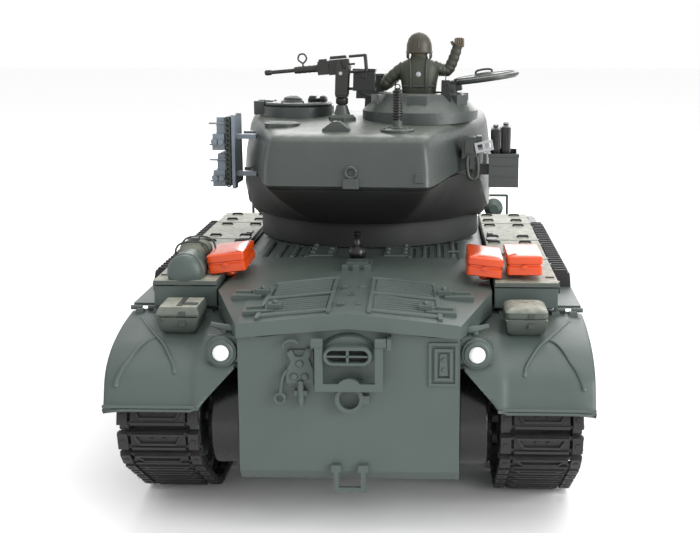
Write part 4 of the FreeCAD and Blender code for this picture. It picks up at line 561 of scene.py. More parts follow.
def mudguardSheet(side):
    word = "left" if side < 0 else "right"
    shape = bmesh.new()
    acrossLine = [mudguardLook["inner"] + (mudguardLook["outer"] - mudguardLook["inner"]) * k / 44
                  for k in range(45)]
    rows = []
    for j in range(57):
        along = j / 56
        rows.append([mudguardPoint(along, a) for a in acrossLine])
    kept = []
    grid = [[shape.verts.new((p.x * side, p.y, p.z)) for p in row] for row in rows]
    for j in range(56):
        for k in range(44):
            middle = rows[j][k].lerp(rows[j + 1][k + 1], 0.5)
            # the inner lower corner is cut away on a slant beside the hull
            if middle.z < 80.1 - (middle.x - 50.5) * (17.2 / 15.8) and middle.z < 80.1:
                continue
            kept.append((grid[j][k], grid[j][k + 1], grid[j + 1][k + 1], grid[j + 1][k]))
    for face in kept:
        shape.faces.new(face)
    loose = [v for v in shape.verts if not v.link_faces]
    bmesh.ops.delete(shape, geom=loose, context="VERTS")
    # straighten the slanted edge
    for v in shape.verts:
        if v.is_boundary and v.co.z < 79.0 and abs(v.co.x) < 68.5:
            limit = 50.5 + (80.1 - v.co.z) * (15.8 / 17.2)
            if abs(v.co.x) - limit < 2.2:
                v.co.x = side * limit
    sheet = finishPiece("mudguard_sheet_" + word, shape, hullPlace, "hull", hullPaint, bevel=0.0, sharp=50,
                        thickness=mudguardLook["wall"])
    return sheet


def mudguardRibs(side):
    # pressed ribs in the sheet, the scalloped hinge at its top and the rolled lip at its foot
    word = "left" if side < 0 else "right"
    shape = bmesh.new()
    arcs = [((103.0, 43.0, 92.1), (97.5, 32.3, 90.4), (91.0, 21.0, 88.0), (86.5, 14.5, 86.0),
             (82.9, 7.8, 83.1), (79.9, 2.5, 79.5), (78.8, -0.8, 76.0)),
            ((91.0, 21.0, 88.0), (94.5, 17.0, 86.9), (97.4, 11.2, 84.6), (99.9, 5.0, 81.2),
             (102.4, 1.0, 78.0), (104.6, -2.4, 73.4), (105.3, -3.8, 70.5))]
    for arc in arcs:
        line = smoothLine(arc, perRun=6)
        count = len(line) - 1
        sections = []
        for k, p in enumerate(line):
            ahead = (line[min(k + 1, count)] - line[max(k - 1, 0)]).normalized()
            lean = max(0.0, (40 - p.y) / 48.0) * 1.35
            normal = Vector((0, -math.sin(lean), math.cos(lean)))
            across = ahead.cross(normal).normalized()
            fade = min(1.0, 3.0 * min(k, count - k) / count + 0.05)
            centre = p + normal * -0.5
            sections.append([centre - across * 1.3 - normal * 0.5,
                             centre - across * 0.45 + normal * (0.35 + 0.55 * fade),
                             centre + across * 0.45 + normal * (0.35 + 0.55 * fade),
                             centre + across * 1.3 - normal * 0.5])
        addSkin(shape, [[(q.x * side, q.y, q.z) for q in s] for s in sections], closedRows=True, capEnds=True)
    for k in range(5):
        x = 71.0 + k * 8.5
        addTurned(shape, [(0, 0), (0, 1.15), (5.6, 1.15), (5.6, 0)], (side * x, 54.4, 94.0),
                  axis=(side, 0, 0), steps=14)
        addBlock(shape, (side * (x + 0.6) - 2.2, 50.6, 91.6), (side * (x + 0.6) + 2.2, 54.0, 93.9), taper=0.5)
    foot = [(x, -7.4, 62.25) for x in (68.6, 80.0, 95.0, 110.4)]
    addBar(shape, [(side * x, y, z) for x, y, z in foot], 0.75, steps=10)
    return finishPiece("mudguard_ribs_" + word, shape, hullPlace, "hull", hullPaint, bevel=0.12, sharp=50)


turretLook = {"plan": ((0, -112), (14, -112), (27, -112), (37.4, -111.9), (41.8, -110.4), (44.6, -104.4),
                       (50.4, -86.0), (57, -68), (67.5, -36), (71.5, -8), (70, 14), (60, 38), (44, 55),
                       (34, 60), (16, 60.5), (0, 60.5)),
              "levels": (
                  ("foot", 4.0, 0.8), ("foot", 1.2, 3.0), (142.0, 0.0), (151.0, 0.3), (160.0, 1.0),
                  ("roof", 3.6, -6.5), ("roof", 4.8, -3.6), ("roof", 6.6, -1.5), ("roof", 9.4, -0.35),
                  ("roof", 14.0, 0.0), ("roof", 26.0, 0.0), ("roof", 42.0, 0.0), ("roof", 56.0, 0.0)),
              "bump": 0.35, "gunWell": 24.8, "cupolaWell": 16.2, "loaderWell": 15.4, "cupola": (32.1, -36.8),
              "loader": (-38.4, -25.7)}


def turretRoof(y):
    # height of the roof, falling to the rear and to the front
    if y <= 0:
        return 182.5 + y * 8.0 / 112.0
    return 182.5 if y < 34 else 182.5 - (y - 34) * 6.5 / 36.0


def turretFoot(y):
    # the casting's lower edge, high under the bustle and low beside the ring
    line = ((-112, 146.4), (-96, 147.8), (-80, 150.0), (-64, 150.6), (-48, 146.0), (-34, 138.0), (-20, 128.0),
            (-12, 124.4), (80, 124.4))
    if y <= -112:
        return 146.4
    for (y0, z0), (y1, z1) in zip(line[:-1], line[1:]):
        if y <= y1:
            return z0 + (z1 - z0) * (y - y0) / (y1 - y0)
    return 124.4


def turretRing(inset, level, rise=0.0, steps=5):
    # the plan of the turret drawn in by inset, at a height or along the roof or the foot
    half = [Vector((x, y, 0)) for x, y in turretLook["plan"]]
    ring = smoothLine(half + [Vector((-p.x, p.y, 0)) for p in half[-2:0:-1]], perRun=steps, closed=True)
    points = []
    for p in ring:
        reach = math.hypot(p.x, p.y + 20)
        scale = max(0.02, (reach - inset) / reach)
        x, y = p.x * scale, (p.y + 20) * scale - 20
        if level == "roof":
            z = turretRoof(y) + rise
        elif level == "foot":
            z = turretFoot(y) + rise
        else:
            z = min(max(level, turretFoot(y) + 3.4), turretRoof(y) - 7.5)
        points.append(Vector((x, y, z)))
    return points


def turretCasting():
    # one smooth casting with rounded roof edges, cut for the gun, the cupola and the loader's hatch
    look = turretLook
    shape = bmesh.new()
    rings = [turretRing(inset, height, *rise) for height, inset, *rise in look["levels"]]
    seat = [Vector((54.0 * p.x, 54.0 * p.y, 0)) / p.xy.length + Vector((0, 0, 125.6)) for p in rings[0]]
    rings = [seat, [p.lerp(q, 0.5) + Vector((0, 0, 1.0)) for p, q in zip(rings[0], seat)]] + rings
    grid = addSkin(shape, rings, closedRows=True)
    middle = shape.verts.new((0, -20, turretRoof(-20)))
    last = grid[-1]
    for k in range(len(last)):
        shape.faces.new((last[k], last[(k + 1) % len(last)], middle))
    shape.faces.new(grid[0][::-1])
    bmesh.ops.recalc_face_normals(shape, faces=shape.faces)
    # a slight unevenness, as a sand casting has
    for v in shape.verts:
        wave = noise.noise(v.co / 26.0)
        v.co += v.normal * look["bump"] * wave
    piece = finishPiece("turret_casting", shape, turretPlace, "turret", turretPaint, bevel=0.0, sharp=48,
                        standsFor=("turret_shell",))
    cutters = bmesh.new()
    addTurned(cutters, [(0, 0), (0, look["gunWell"]), (61.6, look["gunWell"]), (61.6, 0)], (-30.8, 50, 150),
              axis=(1, 0, 0), steps=40)
    addBlock(cutters, (-30.8, 50.0, 125.2), (30.8, 92.0, 174.8))
    for hatch in ("cupola", "loader"):
        bore = look[hatch + "Well"]
        addTurned(cutters, [(0, 0), (0, bore), (50, bore), (50, 0)], look[hatch] + (160,), steps=40)
    hollowOut(piece, cutters, turretPlace)
    return piece


def hollowOut(piece, cutters, place):
    # cuts wells out of a finished piece, and keeps the result
    bmesh.ops.recalc_face_normals(cutters, faces=cutters.faces)
    cutters.transform(place)
    mesh = bpy.data.meshes.new("cutter")
    cutters.to_mesh(mesh)
    cutters.free()
    tool = bpy.data.objects.new("cutter", mesh)
    bpy.context.scene.collection.objects.link(tool)
    cut = piece.modifiers.new("wells", "BOOLEAN")
    cut.operation = "DIFFERENCE"
    cut.object = tool
    cut.solver = "EXACT"
    cut.use_self = True
    bpy.context.view_layer.update()
    solid = bpy.data.meshes.new_from_object(piece.evaluated_get(bpy.context.evaluated_depsgraph_get()))
    piece.modifiers.clear()
    old = piece.data
    piece.data = solid
    solid.set_sharp_from_angle(angle=math.radians(40))
    bpy.data.meshes.remove(old)
    bpy.data.objects.remove(tool)


def turretBelly():
    # the underside, from the casting's foot in to the ring collar, painted near black as shade
    shape = bmesh.new()
    outer = turretRing(3.0, "foot", 0.9)
    rows = [turretRing(3.4, "foot", -0.1)]
    circle = []
    for p in outer:
        a = math.atan2(p.y, p.x)
        circle.append(Vector((62.5 * math.cos(a), 62.5 * math.sin(a), 123.0)))
    for share in (0.25, 0.5, 0.75):
        rows.append([p.lerp(q, share) - Vector((0, 0, 2.2 * math.sin(math.pi * share)))
                     for p, q in zip(rows[0], circle)])
    rows.append(circle)
    rows.append([Vector((q.x * 1.022, q.y * 1.022, 121.0)) for q in circle])
    rows.append([Vector((q.x * 1.022, q.y * 1.022, 110.2)) for q in circle])
    rows.append([Vector((q.x * 0.9, q.y * 0.9, 110.2)) for q in circle])
    rows.append([Vector((q.x * 0.9, q.y * 0.9, 124.8)) for q in circle])
    rows.append([Vector((p.x * 0.97, p.y * 0.97, max(p.z + 0.6, 125.0))) for p in rows[0]])
    rows.append(outer)
    rows.append(rows[0])
    grid = [[shape.verts.new(p) for p in row] for row in rows[:-1]]
    grid.append(grid[0])
    for near, far in zip(grid[:-1], grid[1:]):
        for k in range(len(near)):
            n = (k + 1) % len(near)
            shape.faces.new((near[k], near[n], far[n], far[k]))
    return finishPiece("turret_belly", shape, turretPlace, "turret", paintedShadePaint, bevel=0.0, sharp=40)


linkLook = {"half": 12.8, "pinToGround": 2.5, "pinToInner": 2.0, "horn": 5.2}


def addTrackLink(shape, place):
    # heading +Y, inner face up: a pad with a framed chevron grouser, two end connectors with their pins, and
    # a guide horn
    half = linkLook["half"]
    ground = -linkLook["pinToGround"]
    before = set(shape.verts)
    addBlock(shape, (-half + 0.1, -4.55, -1.2), (half - 0.1, 4.55, linkLook["pinToInner"] - 0.1))
    # chevron frame: trapezoid ring of four bars with a recessed middle
    bars = (((-half + 0.6, -4.3), (half - 0.6, -4.3), (half - 1.6, -3.0), (-half + 1.6, -3.0)),
            ((-half + 0.6, -4.3), (-half + 1.9, -4.0), (-half + 5.4, 1.5), (-half + 3.8, 1.5)),
            ((half - 0.6, -4.3), (half - 3.8, 1.5), (half - 5.4, 1.5), (half - 1.9, -4.0)),
            ((-half + 3.8, 0.6), (half - 3.8, 0.6), (half - 4.6, 1.9), (-half + 4.6, 1.9)),
            ((-half + 0.4, 2.9), (half - 0.4, 2.9), (half - 0.4, 4.4), (-half + 0.4, 4.4)))
    for index, bar in enumerate(bars):
        lift = 0.0 if index in (0, 3) else 0.25
        addPrism(shape, [(x, y, -1.0) for x, y in bar], (0, 0, ground + lift + 1.0))
    for x in (-2.8, 2.8):
        addTurned(shape, [(0, 0), (0, 0.9), (0.7, 0.6), (0.7, 0)], (x, -1.3, -1.15), axis=(0, 0, -1), steps=6)
    for side in (-1, 1):
        addBlock(shape, (side * (half + 3.4) - 2.4, -4.3, ground + 0.35),
                 (side * (half + 3.4) + 2.4, 4.3, 1.6), taper=0.25)
        addBlock(shape, (side * (half + 3.4) - 1.1, -1.1, ground + 0.0),
                 (side * (half + 3.4) + 1.1, 1.1, -1.6), taper=0.2)
        for y in (-3.0, 3.0):
            addTurned(shape, [(0, 0), (0, 1.15), (6.3, 1.15), (6.5, 0.8), (6.5, 0)],
                      (side * (half - 0.4), y, 0), axis=(side, 0, 0), steps=10)
    addPrism(shape, [(-2.2, -2.8, 1.7), (-2.2, 2.8, 1.7), (-1.9, 1.2, linkLook["horn"]),
                     (-1.9, -1.2, linkLook["horn"])], (4.1, 0, 0))
    fresh = [v for v in shape.verts if v not in before]
    bmesh.ops.transform(shape, matrix=place, verts=fresh)


def linkPlaces(nodeName):
    # where each moulded link sits, read from the CAD track's own loose parts
    source = bmesh.new()
    source.from_mesh(frame["nodes"][nodeName].data)
    bmesh.ops.remove_doubles(source, verts=source.verts, dist=0.002 * mm)
    places = []
    for island in looseParts(source):
        edges = {e for v in island for e in v.link_edges}
        long = max((e for e in edges if abs(e.verts[0].co.x
                                            - e.verts[1].co.x) < 1e-6 and abs(e.calc_length() / mm
                                                                              - 9.4) < 0.05),
                   key=lambda e: e.calc_length())
        along = (long.verts[1].co - long.verts[0].co).normalized()
        across = [v.co.x for v in island]
        centre = sum((v.co for v in island), Vector()) / len(island)
        places.append([centre, along, (min(across) + max(across)) / 2])
    source.free()
    middle = sum((p[0] for p in places), Vector()) / len(places)
    result = []
    for centre, along, across in places:
        out = centre - middle
        # the inner face looks towards the loop's middle
        normal = Vector((0, -along.z, along.y))
        if normal.dot(out) > 0:
            along, normal = -along, -normal
        result.append((centre, along, normal, across))
    return result


def trackBelt(side):
    # one belt of moulded links, each laid where its plain solid is
    word = "left" if side < 0 else "right"
    places = linkPlaces("track_" + word)
    lowest = min(places, key=lambda p: p[0].z)
    # height of a link's own middle above its pin line, found on a link that lies on the ground
    lift = lowest[0].z - linkLook["pinToGround"] * mm
    shape = bmesh.new()
    for centre, along, normal, across in places:
        spot = centre - normal * lift
        turn = Matrix(((1 if normal.cross(along).x < 0 else -1, 0, 0), (0, along.y, normal.y),
                       (0, along.z, normal.z))).to_4x4()
        place = Matrix.Translation((across, spot.y, spot.z)) @ turn @ Matrix.Scale(mm, 4)
        addTrackLink(shape, place)
    return finishPiece("track_belt_" + word, shape, Matrix.Identity(4), "hull", trackPlastic, bevel=0.18,
                       sharp=40, segments=1, standsFor=("track_" + word,))


engineLouvres()
engineDeckFrames()
deckHingePads()
upperDeckDetails()
softCopy("upper_hull", hullPaint, bevel=0.5)
softCopy("lower_hull", hullPaint, bevel=0.5)
mudguardLook["line"] = smoothLine([(0, y, z) for y, z in mudguardLook["profile"]], perRun=6)
for side in (-1, 1):
    mudguardSheet(side)
    mudguardRibs(side)
print("hull skin made")

turretCasting()
turretBelly()
for side in (-1, 1):
    trackBelt(side)
print("turret casting and tracks made")


def addRoundedBlock(shape, middle, half, round, turn=None, puff=0.0, steps=5):
    # a box with rounded upright corners and a crowned top; half is the half size each way
    mx, my, mz = middle
    hx, hy, hz = half
    ring = []
    for sx, sy, start in ((1, 1, 0), (-1, 1, 90), (-1, -1, 180), (1, -1, 270)):
        for k in range(steps):
            a = math.radians(start + 90 * k / (steps - 1))
            ring.append((sx * (hx - round) + round * math.cos(a), sy * (hy - round) + round * math.sin(a)))
    levels = [(-hz, 1.0 - round * 0.35 / hx), (-hz + round * 0.35, 1.0), (hz - round * 0.5, 1.0),
              (hz - round * 0.12, 1.0 - round * 0.28 / hx), (hz + puff * 0.35, 0.86 - round * 0.3 / hx),
              (hz + puff * 0.8, 0.55), (hz + puff, 0.22)]
    rows = []
    for z, scale in levels:
        row = [Vector((x * scale, y * scale, z)) for x, y in ring]
        if turn:
            row = [turn @ p for p in row]
        rows.append([Vector((mx, my, mz)) + p for p in row])
    addSkin(shape, rows, closedRows=True, capEnds=True)


def orangeBoxes():
    # three stowed boxes with a lid seam all round, a diamond boss on the near end and a stem under each
    bodies, stems, bosses = bmesh.new(), bmesh.new(), bmesh.new()
    boxes = ((-64.6, 81.0, 9.6, 19.0, -6.5), (63.0, 74.0, 9.0, 19.0, 6.5), (82.1, 73.0, 8.9, 19.0, 0.0))
    for x, y, hx, hy, lean in boxes:
        turn = Matrix.Rotation(math.radians(lean), 3, "Y")
        centre = Vector((x, y, 115.75)) + (Vector((0, 0, -abs(lean) * 0.17)))
        for z, hz, grow in ((-2.4, 2.45, 0.0), (2.65, 2.1, 0.12)):
            addRoundedBlock(bodies, centre + turn @ Vector((0, 0, z)), (hx + grow - 0.4, hy + grow - 0.4, hz),
                            1.3, turn=turn, puff=0.35 if z > 0 else 0.0)
        addRoundedBlock(bodies, centre, (hx - 1.0, hy - 1.0, 4.2), 1.0, turn=turn)
        near = centre + turn @ Vector((0, -hy + 0.45, -0.6))
        ring = [near + turn @ Vector((dx, 0, dz)) for dx, dz in ((-2.3, 0), (0, 1.3), (2.3, 0), (0, -1.3))]
        addPrism(bosses, ring, (0, -0.75, 0))
        addTurned(stems, [(0, 2.6), (0.8, 3.1), (7.0, 2.4)], (x - (0.6 if x < 0 else -0.6), y - 3.0, 106.0),
                  steps=20)
    finishPiece("orange_stowed_boxes", bodies, hullPlace, "hull", orangePlastic, bevel=0.2, sharp=38,
                standsFor=("orange_boxes",))
    finishPiece("orange_box_bosses", bosses, hullPlace, "hull", orangePlastic, bevel=0.15)
    finishPiece("orange_box_stems", stems, hullPlace, "hull", orangePlastic, bevel=0.2)


def mudBoxes():
    # small tool boxes on the mudguards: a flat strapped lid on the left, a puffed lid with a pressed cross
    # on the right
    base, lids, trims = bmesh.new(), bmesh.new(), bmesh.new()
    for side in (-1, 1):
        x = side * 81.0
        lower = [[(x + sx * hx, y, z) for sx, y in ((-1, y0), (1, y0), (1, y1), (-1, y1))]
                 for hx, y0, y1, z in ((6.6, 25.0, 41.0, 88.2), (8.6, 22.6, 43.0, 90.4),
                                       (9.7, 21.2, 44.2, 94.8), (9.9, 21.0, 44.4, 96.6))]
        addSkin(base, lower, closedRows=True, capEnds=True)
        if side < 0:
            rows = [[(x + sx * hx, y, z) for sx, y in ((-1, y0), (1, y0), (1, y1), (-1, y1))]
                    for hx, y0, y1, z in ((10.2, 20.4, 44.8, 97.3), (10.2, 20.4, 44.8, 98.2),
                                          (8.9, 23.0, 43.9, 101.3), (8.2, 23.8, 43.2, 101.5))]
            addSkin(lids, rows, closedRows=True, capEnds=True)
            addBlock(trims, (x + 1.5, 27.0, 101.3), (x + 8.4, 31.0, 102.0), taper=0.3)
            addBlock(trims, (x - 1.2, 24.2, 101.2), (x + 1.6, 43.0, 101.9), taper=0.3)
        else:
            addRoundedBlock(lids, (x, 32.6, 98.9), (10.0, 12.1, 2.3), 2.6, puff=1.5)
            for dx in (-1, 1):
                line = [(x - dx * 4.6 + dx * 9.2 * k / 8, 27.8 + 9.0 * k / 8,
                         102.15 + 0.25 * math.sin(math.pi * k / 8)) for k in range(9)]
                addBar(trims, line, 0.42, steps=8)
        for z0, z1 in ((92.6, 95.2), (97.6, 99.6)):
            addBlock(trims, (x + 0.6, 19.9 if z0 > 96 else 20.6, z0), (x + 3.8, 22.2, z1), taper=0.15)
        addBlock(trims, (x - 9.3, 20.5, 94.3), (x - 7.2, 22.0, 96.0), taper=0.15)
    finishPiece("mud_box_bases", base, hullPlace, "hull", boxPaint, bevel=0.6, segments=3)
    finishPiece("mud_box_lids", lids, hullPlace, "hull", boxPaint, bevel=0.5, segments=3)
    finishPiece("mud_box_latches", trims, hullPlace, "hull", darkPaint, bevel=0.12)


def fenderLockers():
    # the lockers in a row along each fender, with drop handles, hinges and a seam under every lid
    bodies, lids, irons = bmesh.new(), bmesh.new(), bmesh.new()
    for side in (-1, 1):
        for y0, y1 in ((49.6, 112.0), (112.6, 172.0), (172.6, 233.6), (234.2, 275.0)):
            rear = max(y0 + 0.6, 50.6)
            lowX, highX = sorted((side * 67.4, side * 98.1))
            addBlock(bodies, (lowX, rear, 95.6), (highX, y1 - 0.2, 105.6))
            lowX, highX = sorted((side * 67.25, side * 98.7))
            addBlock(lids, (lowX, y0, 106.1), (highX, y1 - 0.1, 108.35), taper=0.35)
            for x in (72.5, 90.0):
                for y in (y0 + 10.0, y1 - 9.0):
                    if y < 105 and y0 < 60:
                        continue
                    addBar(irons, [(side * (x - 3.2), y, 108.3), (side * (x - 2.6), y, 109.2),
                                   (side * (x + 2.6), y, 109.2), (side * (x + 3.2), y, 108.3)], 0.7, steps=8)
            for y in (y0 + 8.0, y1 - 8.0):
                addBlock(irons, *boxCorners(side * 97.6, side * 99.6, y - 1.8, y + 1.8, 102.0, 107.6),
                         taper=0.15)
        low, high = boxCorners(side * 68.4, side * 74.6, 168.6, 176.6, 108.2, 109.3)
        addBlock(irons, low, high, taper=0.2)
        low, high = boxCorners(side * 69.6, side * 73.2, 188.0, 196.0, 108.2, 109.6)
        addBlock(irons, low, high, taper=0.4)
        low, high = boxCorners(side * 92.8, side * 97.2, 62.6, 64.6, 108.3, 108.9)
        addBlock(irons, low, high, taper=0.1)
    finishPiece("locker_bodies", bodies, hullPlace, "hull", hullPaint, bevel=0.35,
                standsFor=("fender_boxes",))
    finishPiece("locker_lids", lids, hullPlace, "hull", boxPaint, bevel=0.35)
    finishPiece("locker_ironwork", irons, hullPlace, "hull", gunPaint, bevel=0.12)


def boxCorners(x0, x1, y0, y1, z0, z1):
    return (min(x0, x1), y0, z0), (max(x0, x1), y1, z1)


def canisterAndBundle():
    # a canister lying with its domed end to the rear, and a strapped canvas bundle behind it
    can, bundle, straps = bmesh.new(), bmesh.new(), bmesh.new()
    x, z = -83.4, 111.6
    profile = [(0, 0)] + [(8.8 * (1 - math.cos(a)) * 0.5, 8.7 * math.sin(a))
                          for a in (math.radians(9 * k) for k in range(1, 11))]
    profile += [(6.5, 8.7), (6.8, 9.2), (8.6, 9.2), (8.9, 8.7), (22.0, 8.7), (22.0, 0)]
    addTurned(can, profile, (x, 49.4, z), axis=(0, 1, 0), steps=40)
    rows = []
    for k in range(15):
        y = 73.0 + 31.0 * k / 14
        swell = math.sin(math.pi * (k + 0.6) / 15.2) ** 0.35
        row = []
        for a in (2 * math.pi * j / 28 for j in range(28)):
            px = math.copysign(abs(math.cos(a)) ** 0.7, math.cos(a)) * 8.2 * swell
            pz = math.copysign(abs(math.sin(a)) ** 0.75, math.sin(a)) * 6.4 * swell
            crease = 0.45 * noise.noise(Vector((px / 4, y / 5, pz / 4)))
            row.append((x - 1.0 + px * (1 + crease * 0.08), y, 115.3 + pz + crease))
        rows.append(row)
    addSkin(bundle, rows, closedRows=True, capEnds=True)
    for y in (80.0, 97.0):
        loop = [(x - 1.0 + 8.75 * math.copysign(abs(math.cos(a)) ** 0.7, math.cos(a)), y,
                 115.5 + 6.8 * math.copysign(abs(math.sin(a)) ** 0.75, math.sin(a)))
                for a in (math.radians(-30 + 12 * k) for k in range(21))]
        addBar(straps, loop, 0.55, steps=6)
    for dx in (-1, 1):
        addBar(straps, [(x - 1.0 + dx * 6.4, 80.0, 121.0), (x - 1.0, 88.5, 122.4),
                        (x - 1.0 - dx * 6.4, 97.0, 121.0)], 0.5, steps=6)
    addBlock(straps, (x - 3.2, 86.0, 121.6), (x + 1.2, 91.0, 123.2), taper=0.3)
    finishPiece("stowed_canister", can, hullPlace, "hull", hullPaint, bevel=0.0, sharp=40)
    finishPiece("canvas_bundle", bundle, hullPlace, "hull", canvasRoll, bevel=0.0, sharp=60)
    finishPiece("bundle_straps", straps, hullPlace, "hull", darkPaint, bevel=0.1)


def spareLinks():
    # spare track links standing in their trays along each fender
    shape = bmesh.new()
    for side in (-1, 1):
        low, high = boxCorners(side * 99.0, side * 110.0, 104.0, 272.0, 95.6, 99.8)
        addBlock(shape, low, high, taper=0.3)
        for k in range(13):
            y = 104.0 + 168.0 * (k + 0.5) / 13
            low, high = boxCorners(side * 99.4, side * 109.8, y - 5.5, y + 5.5, 99.6, 102.4)
            addBlock(shape, low, high, taper=0.4)
            for dy in (-3.4, 3.0):
                low, high = boxCorners(side * 100.8, side * 108.4, y + dy - 1.1, y + dy + 1.1, 102.2, 104.0)
                addBlock(shape, low, high, taper=0.35)
            for x in (101.2, 108.0):
                addTurned(shape, [(0, 0), (0, 1.2), (10.4, 1.2), (10.4, 0)], (side * x, y - 5.2, 101.0),
                          axis=(0, 1, 0), steps=8)
    finishPiece("spare_link_trays", shape, hullPlace, "hull", trackPlastic, bevel=0.15,
                standsFor=("fender_track_links",))


remadeFittings = ((-8, 4, 96, 112, 100, 145), (-92, -70, 19, 46, 86, 106), (70, 92, 19, 46, 86, 106),
                  (-94, -73, 48, 107, 100, 124), (-66, -48, -6, 9, 76, 99), (48, 66, -6, 9, 76, 99),
                  (-31, -14, -6, 3, 63, 93), (-15, 15, -11, 1, 78, 97), (35, 50, -4, 3, 70, 92))


def rearLamps():
    # stepped lamp housing on a rounded bracket, with a clear lens standing out of it, and a lever above
    housings, lenses, levers = bmesh.new(), bmesh.new(), bmesh.new()
    for side in (-1, 1):
        x, z = side * 57.6, 85.5
        ring = [(x + dx, 3.4, z + dz) for dx, dz in ((-7.6, -6.2), (-6.4, -7.6), (6.4, -7.6), (7.6, -6.2),
                                                     (7.8, 5.2), (6.4, 7.2), (-6.4, 7.2), (-7.8, 5.2))]
        addPrism(housings, ring, (0, 3.2, 0))
        addTurned(housings, [(0, 3.9), (-0.4, 4.4), (-0.2, 5.5), (0.4, 5.9), (1.2, 6.0), (1.3, 6.9),
                             (2.2, 7.2), (4.4, 7.2)], (x, 0.0, z), axis=(0, 1, 0), steps=48)
        addTurned(lenses, [(-3.6, 0), (-3.5, 1.2), (-3.1, 2.3), (-2.4, 3.1), (-1.2, 3.65), (0.4, 3.8),
                           (2.4, 3.8), (2.4, 0)], (x, 0.4, z), axis=(0, 1, 0), steps=48)
        path = smoothLine([(x - side * 6.2, 7.0, 95.4), (x - side * 4.0, 7.2, 95.2), (x, 7.8, 95.6),
                           (x + side * 5.4, 8.6, 96.9)], perRun=5)
        addBar(levers, path, [1.1 + 0.7 * math.sin(math.pi * k / (len(path) - 1)) ** 2
                              for k in range(len(path))], steps=14)
        hook = [(x - side * 5.6, 7.0, 95.2), (x - side * 6.4, 6.4, 93.6), (x - side * 4.6, 5.8, 92.2),
                (x - side * 2.6, 6.0, 92.8)]
        addBar(levers, smoothLine(hook, perRun=5), 0.7, steps=8)
        addTurned(levers, [(0, 0), (0, 1.7), (1.6, 1.7), (1.6, 0)], (x - side * 0.8, 7.6, 93.2), steps=16)
    finishPiece("rear_lamp_housings", housings, hullPlace, "hull", hullPaint, bevel=0.25, sharp=50)
    finishPiece("rear_lamp_lenses", lenses, hullPlace, "hull", lensPlastic, bevel=0.0, sharp=60)
    finishPiece("fender_levers", levers, hullPlace, "hull", hullPaint, bevel=0.0, sharp=60)


def toolBracket():
    # a pressed bracket on the rear plate holding a folded tool, a spring clip and a shackle
    shape = bmesh.new()
    addBlock(shape, (-27.4, -1.2, 70.8), (-15.6, -0.02, 87.6), taper=0.0)
    addPrism(shape, [(-28.0, -2.6, 72.4), (-15.8, -2.6, 72.4), (-15.8, -2.6, 79.0), (-17.6, -2.6, 83.6),
                     (-16.0, -2.6, 87.8), (-18.6, -2.6, 88.6), (-20.6, -2.6, 84.8), (-23.6, -2.6, 84.8),
                     (-25.4, -2.6, 88.0), (-27.6, -2.6, 86.4), (-25.8, -2.6, 82.4), (-28.0, -2.6, 78.4)],
             (0, 1.6, 0))
    for x, z in ((-24.4, 75.6), (-19.4, 75.6), (-21.8, 81.6)):
        addTurned(shape, [(0, 1.9), (0.9, 1.5), (1.2, 0.8), (1.3, 0)], (x, -2.5, z), axis=(0, -1, 0),
                  steps=14)
    addTurned(shape, [(0, 0), (0, 1.5), (11.0, 1.5), (12.4, 0.9), (12.4, 0)], (-21.4, -2.7, 73.8),
              axis=(0, 0, -1), steps=16)
    addBlock(shape, (-24.6, -3.4, 66.8), (-18.2, -0.3, 69.2), taper=0.3)
    arc = [(-25.6 + 3.6 * math.cos(a), -2.9, 89.8 + 2.6 * math.sin(a))
           for a in (math.radians(20 + 20 * k) for k in range(10))]
    addBar(shape, arc, 0.75, steps=8)
    arc = [(-15.0 + 2.8 * math.cos(a), -2.6, 86.2 + 2.8 * math.sin(a))
           for a in (math.radians(-80 + 22 * k) for k in range(12))]
    addBar(shape, arc, 0.65, steps=8)
    addBar(shape, smoothLine([(-27.6, -2.6, 78.6), (-29.4, -2.8, 75.4), (-30.2, -2.8, 71.6),
                              (-30.6, -2.8, 68.0)], perRun=4), 0.8, steps=8)
    ring = [(-31.0 + 2.3 * math.cos(a), -2.8, 65.4 + 2.3 * math.sin(a))
            for a in (2 * math.pi * k / 16 for k in range(17))]
    addBar(shape, ring, 0.75, steps=8)
    finishPiece("rear_tool_bracket", shape, hullPlace, "hull", hullPaint, bevel=0.2)


def platePanel():
    # raised double frame on the rear plate, with two studs inside
    shape = bmesh.new()
    for x0, x1, z0, z1, deep in ((35.8, 49.2, 70.9, 91.2, 0.9), (38.4, 46.8, 73.6, 88.6, 1.5)):
        for a, b, c, d in ((x0, x1, z0, z0 + 1.5), (x0, x1, z1 - 1.5, z1), (x0, x0 + 1.5, z0 + 1.4, z1 - 1.4),
                           (x1 - 1.5, x1, z0 + 1.4, z1 - 1.4)):
            addBlock(shape, (a, -deep, c), (b, 0.3, d))
    addBlock(shape, (40.6, -1.1, 76.0), (44.6, 0.3, 86.2), taper=0.4)
    for z in (79.0, 83.6):
        addTurned(shape, [(0, 0), (0, 0.9), (0.7, 0.7), (0.7, 0)], (42.6, -1.0, z), axis=(0, -1, 0), steps=12)
    finishPiece("rear_plate_frames", shape, hullPlace, "hull", hullPaint, bevel=0.2)


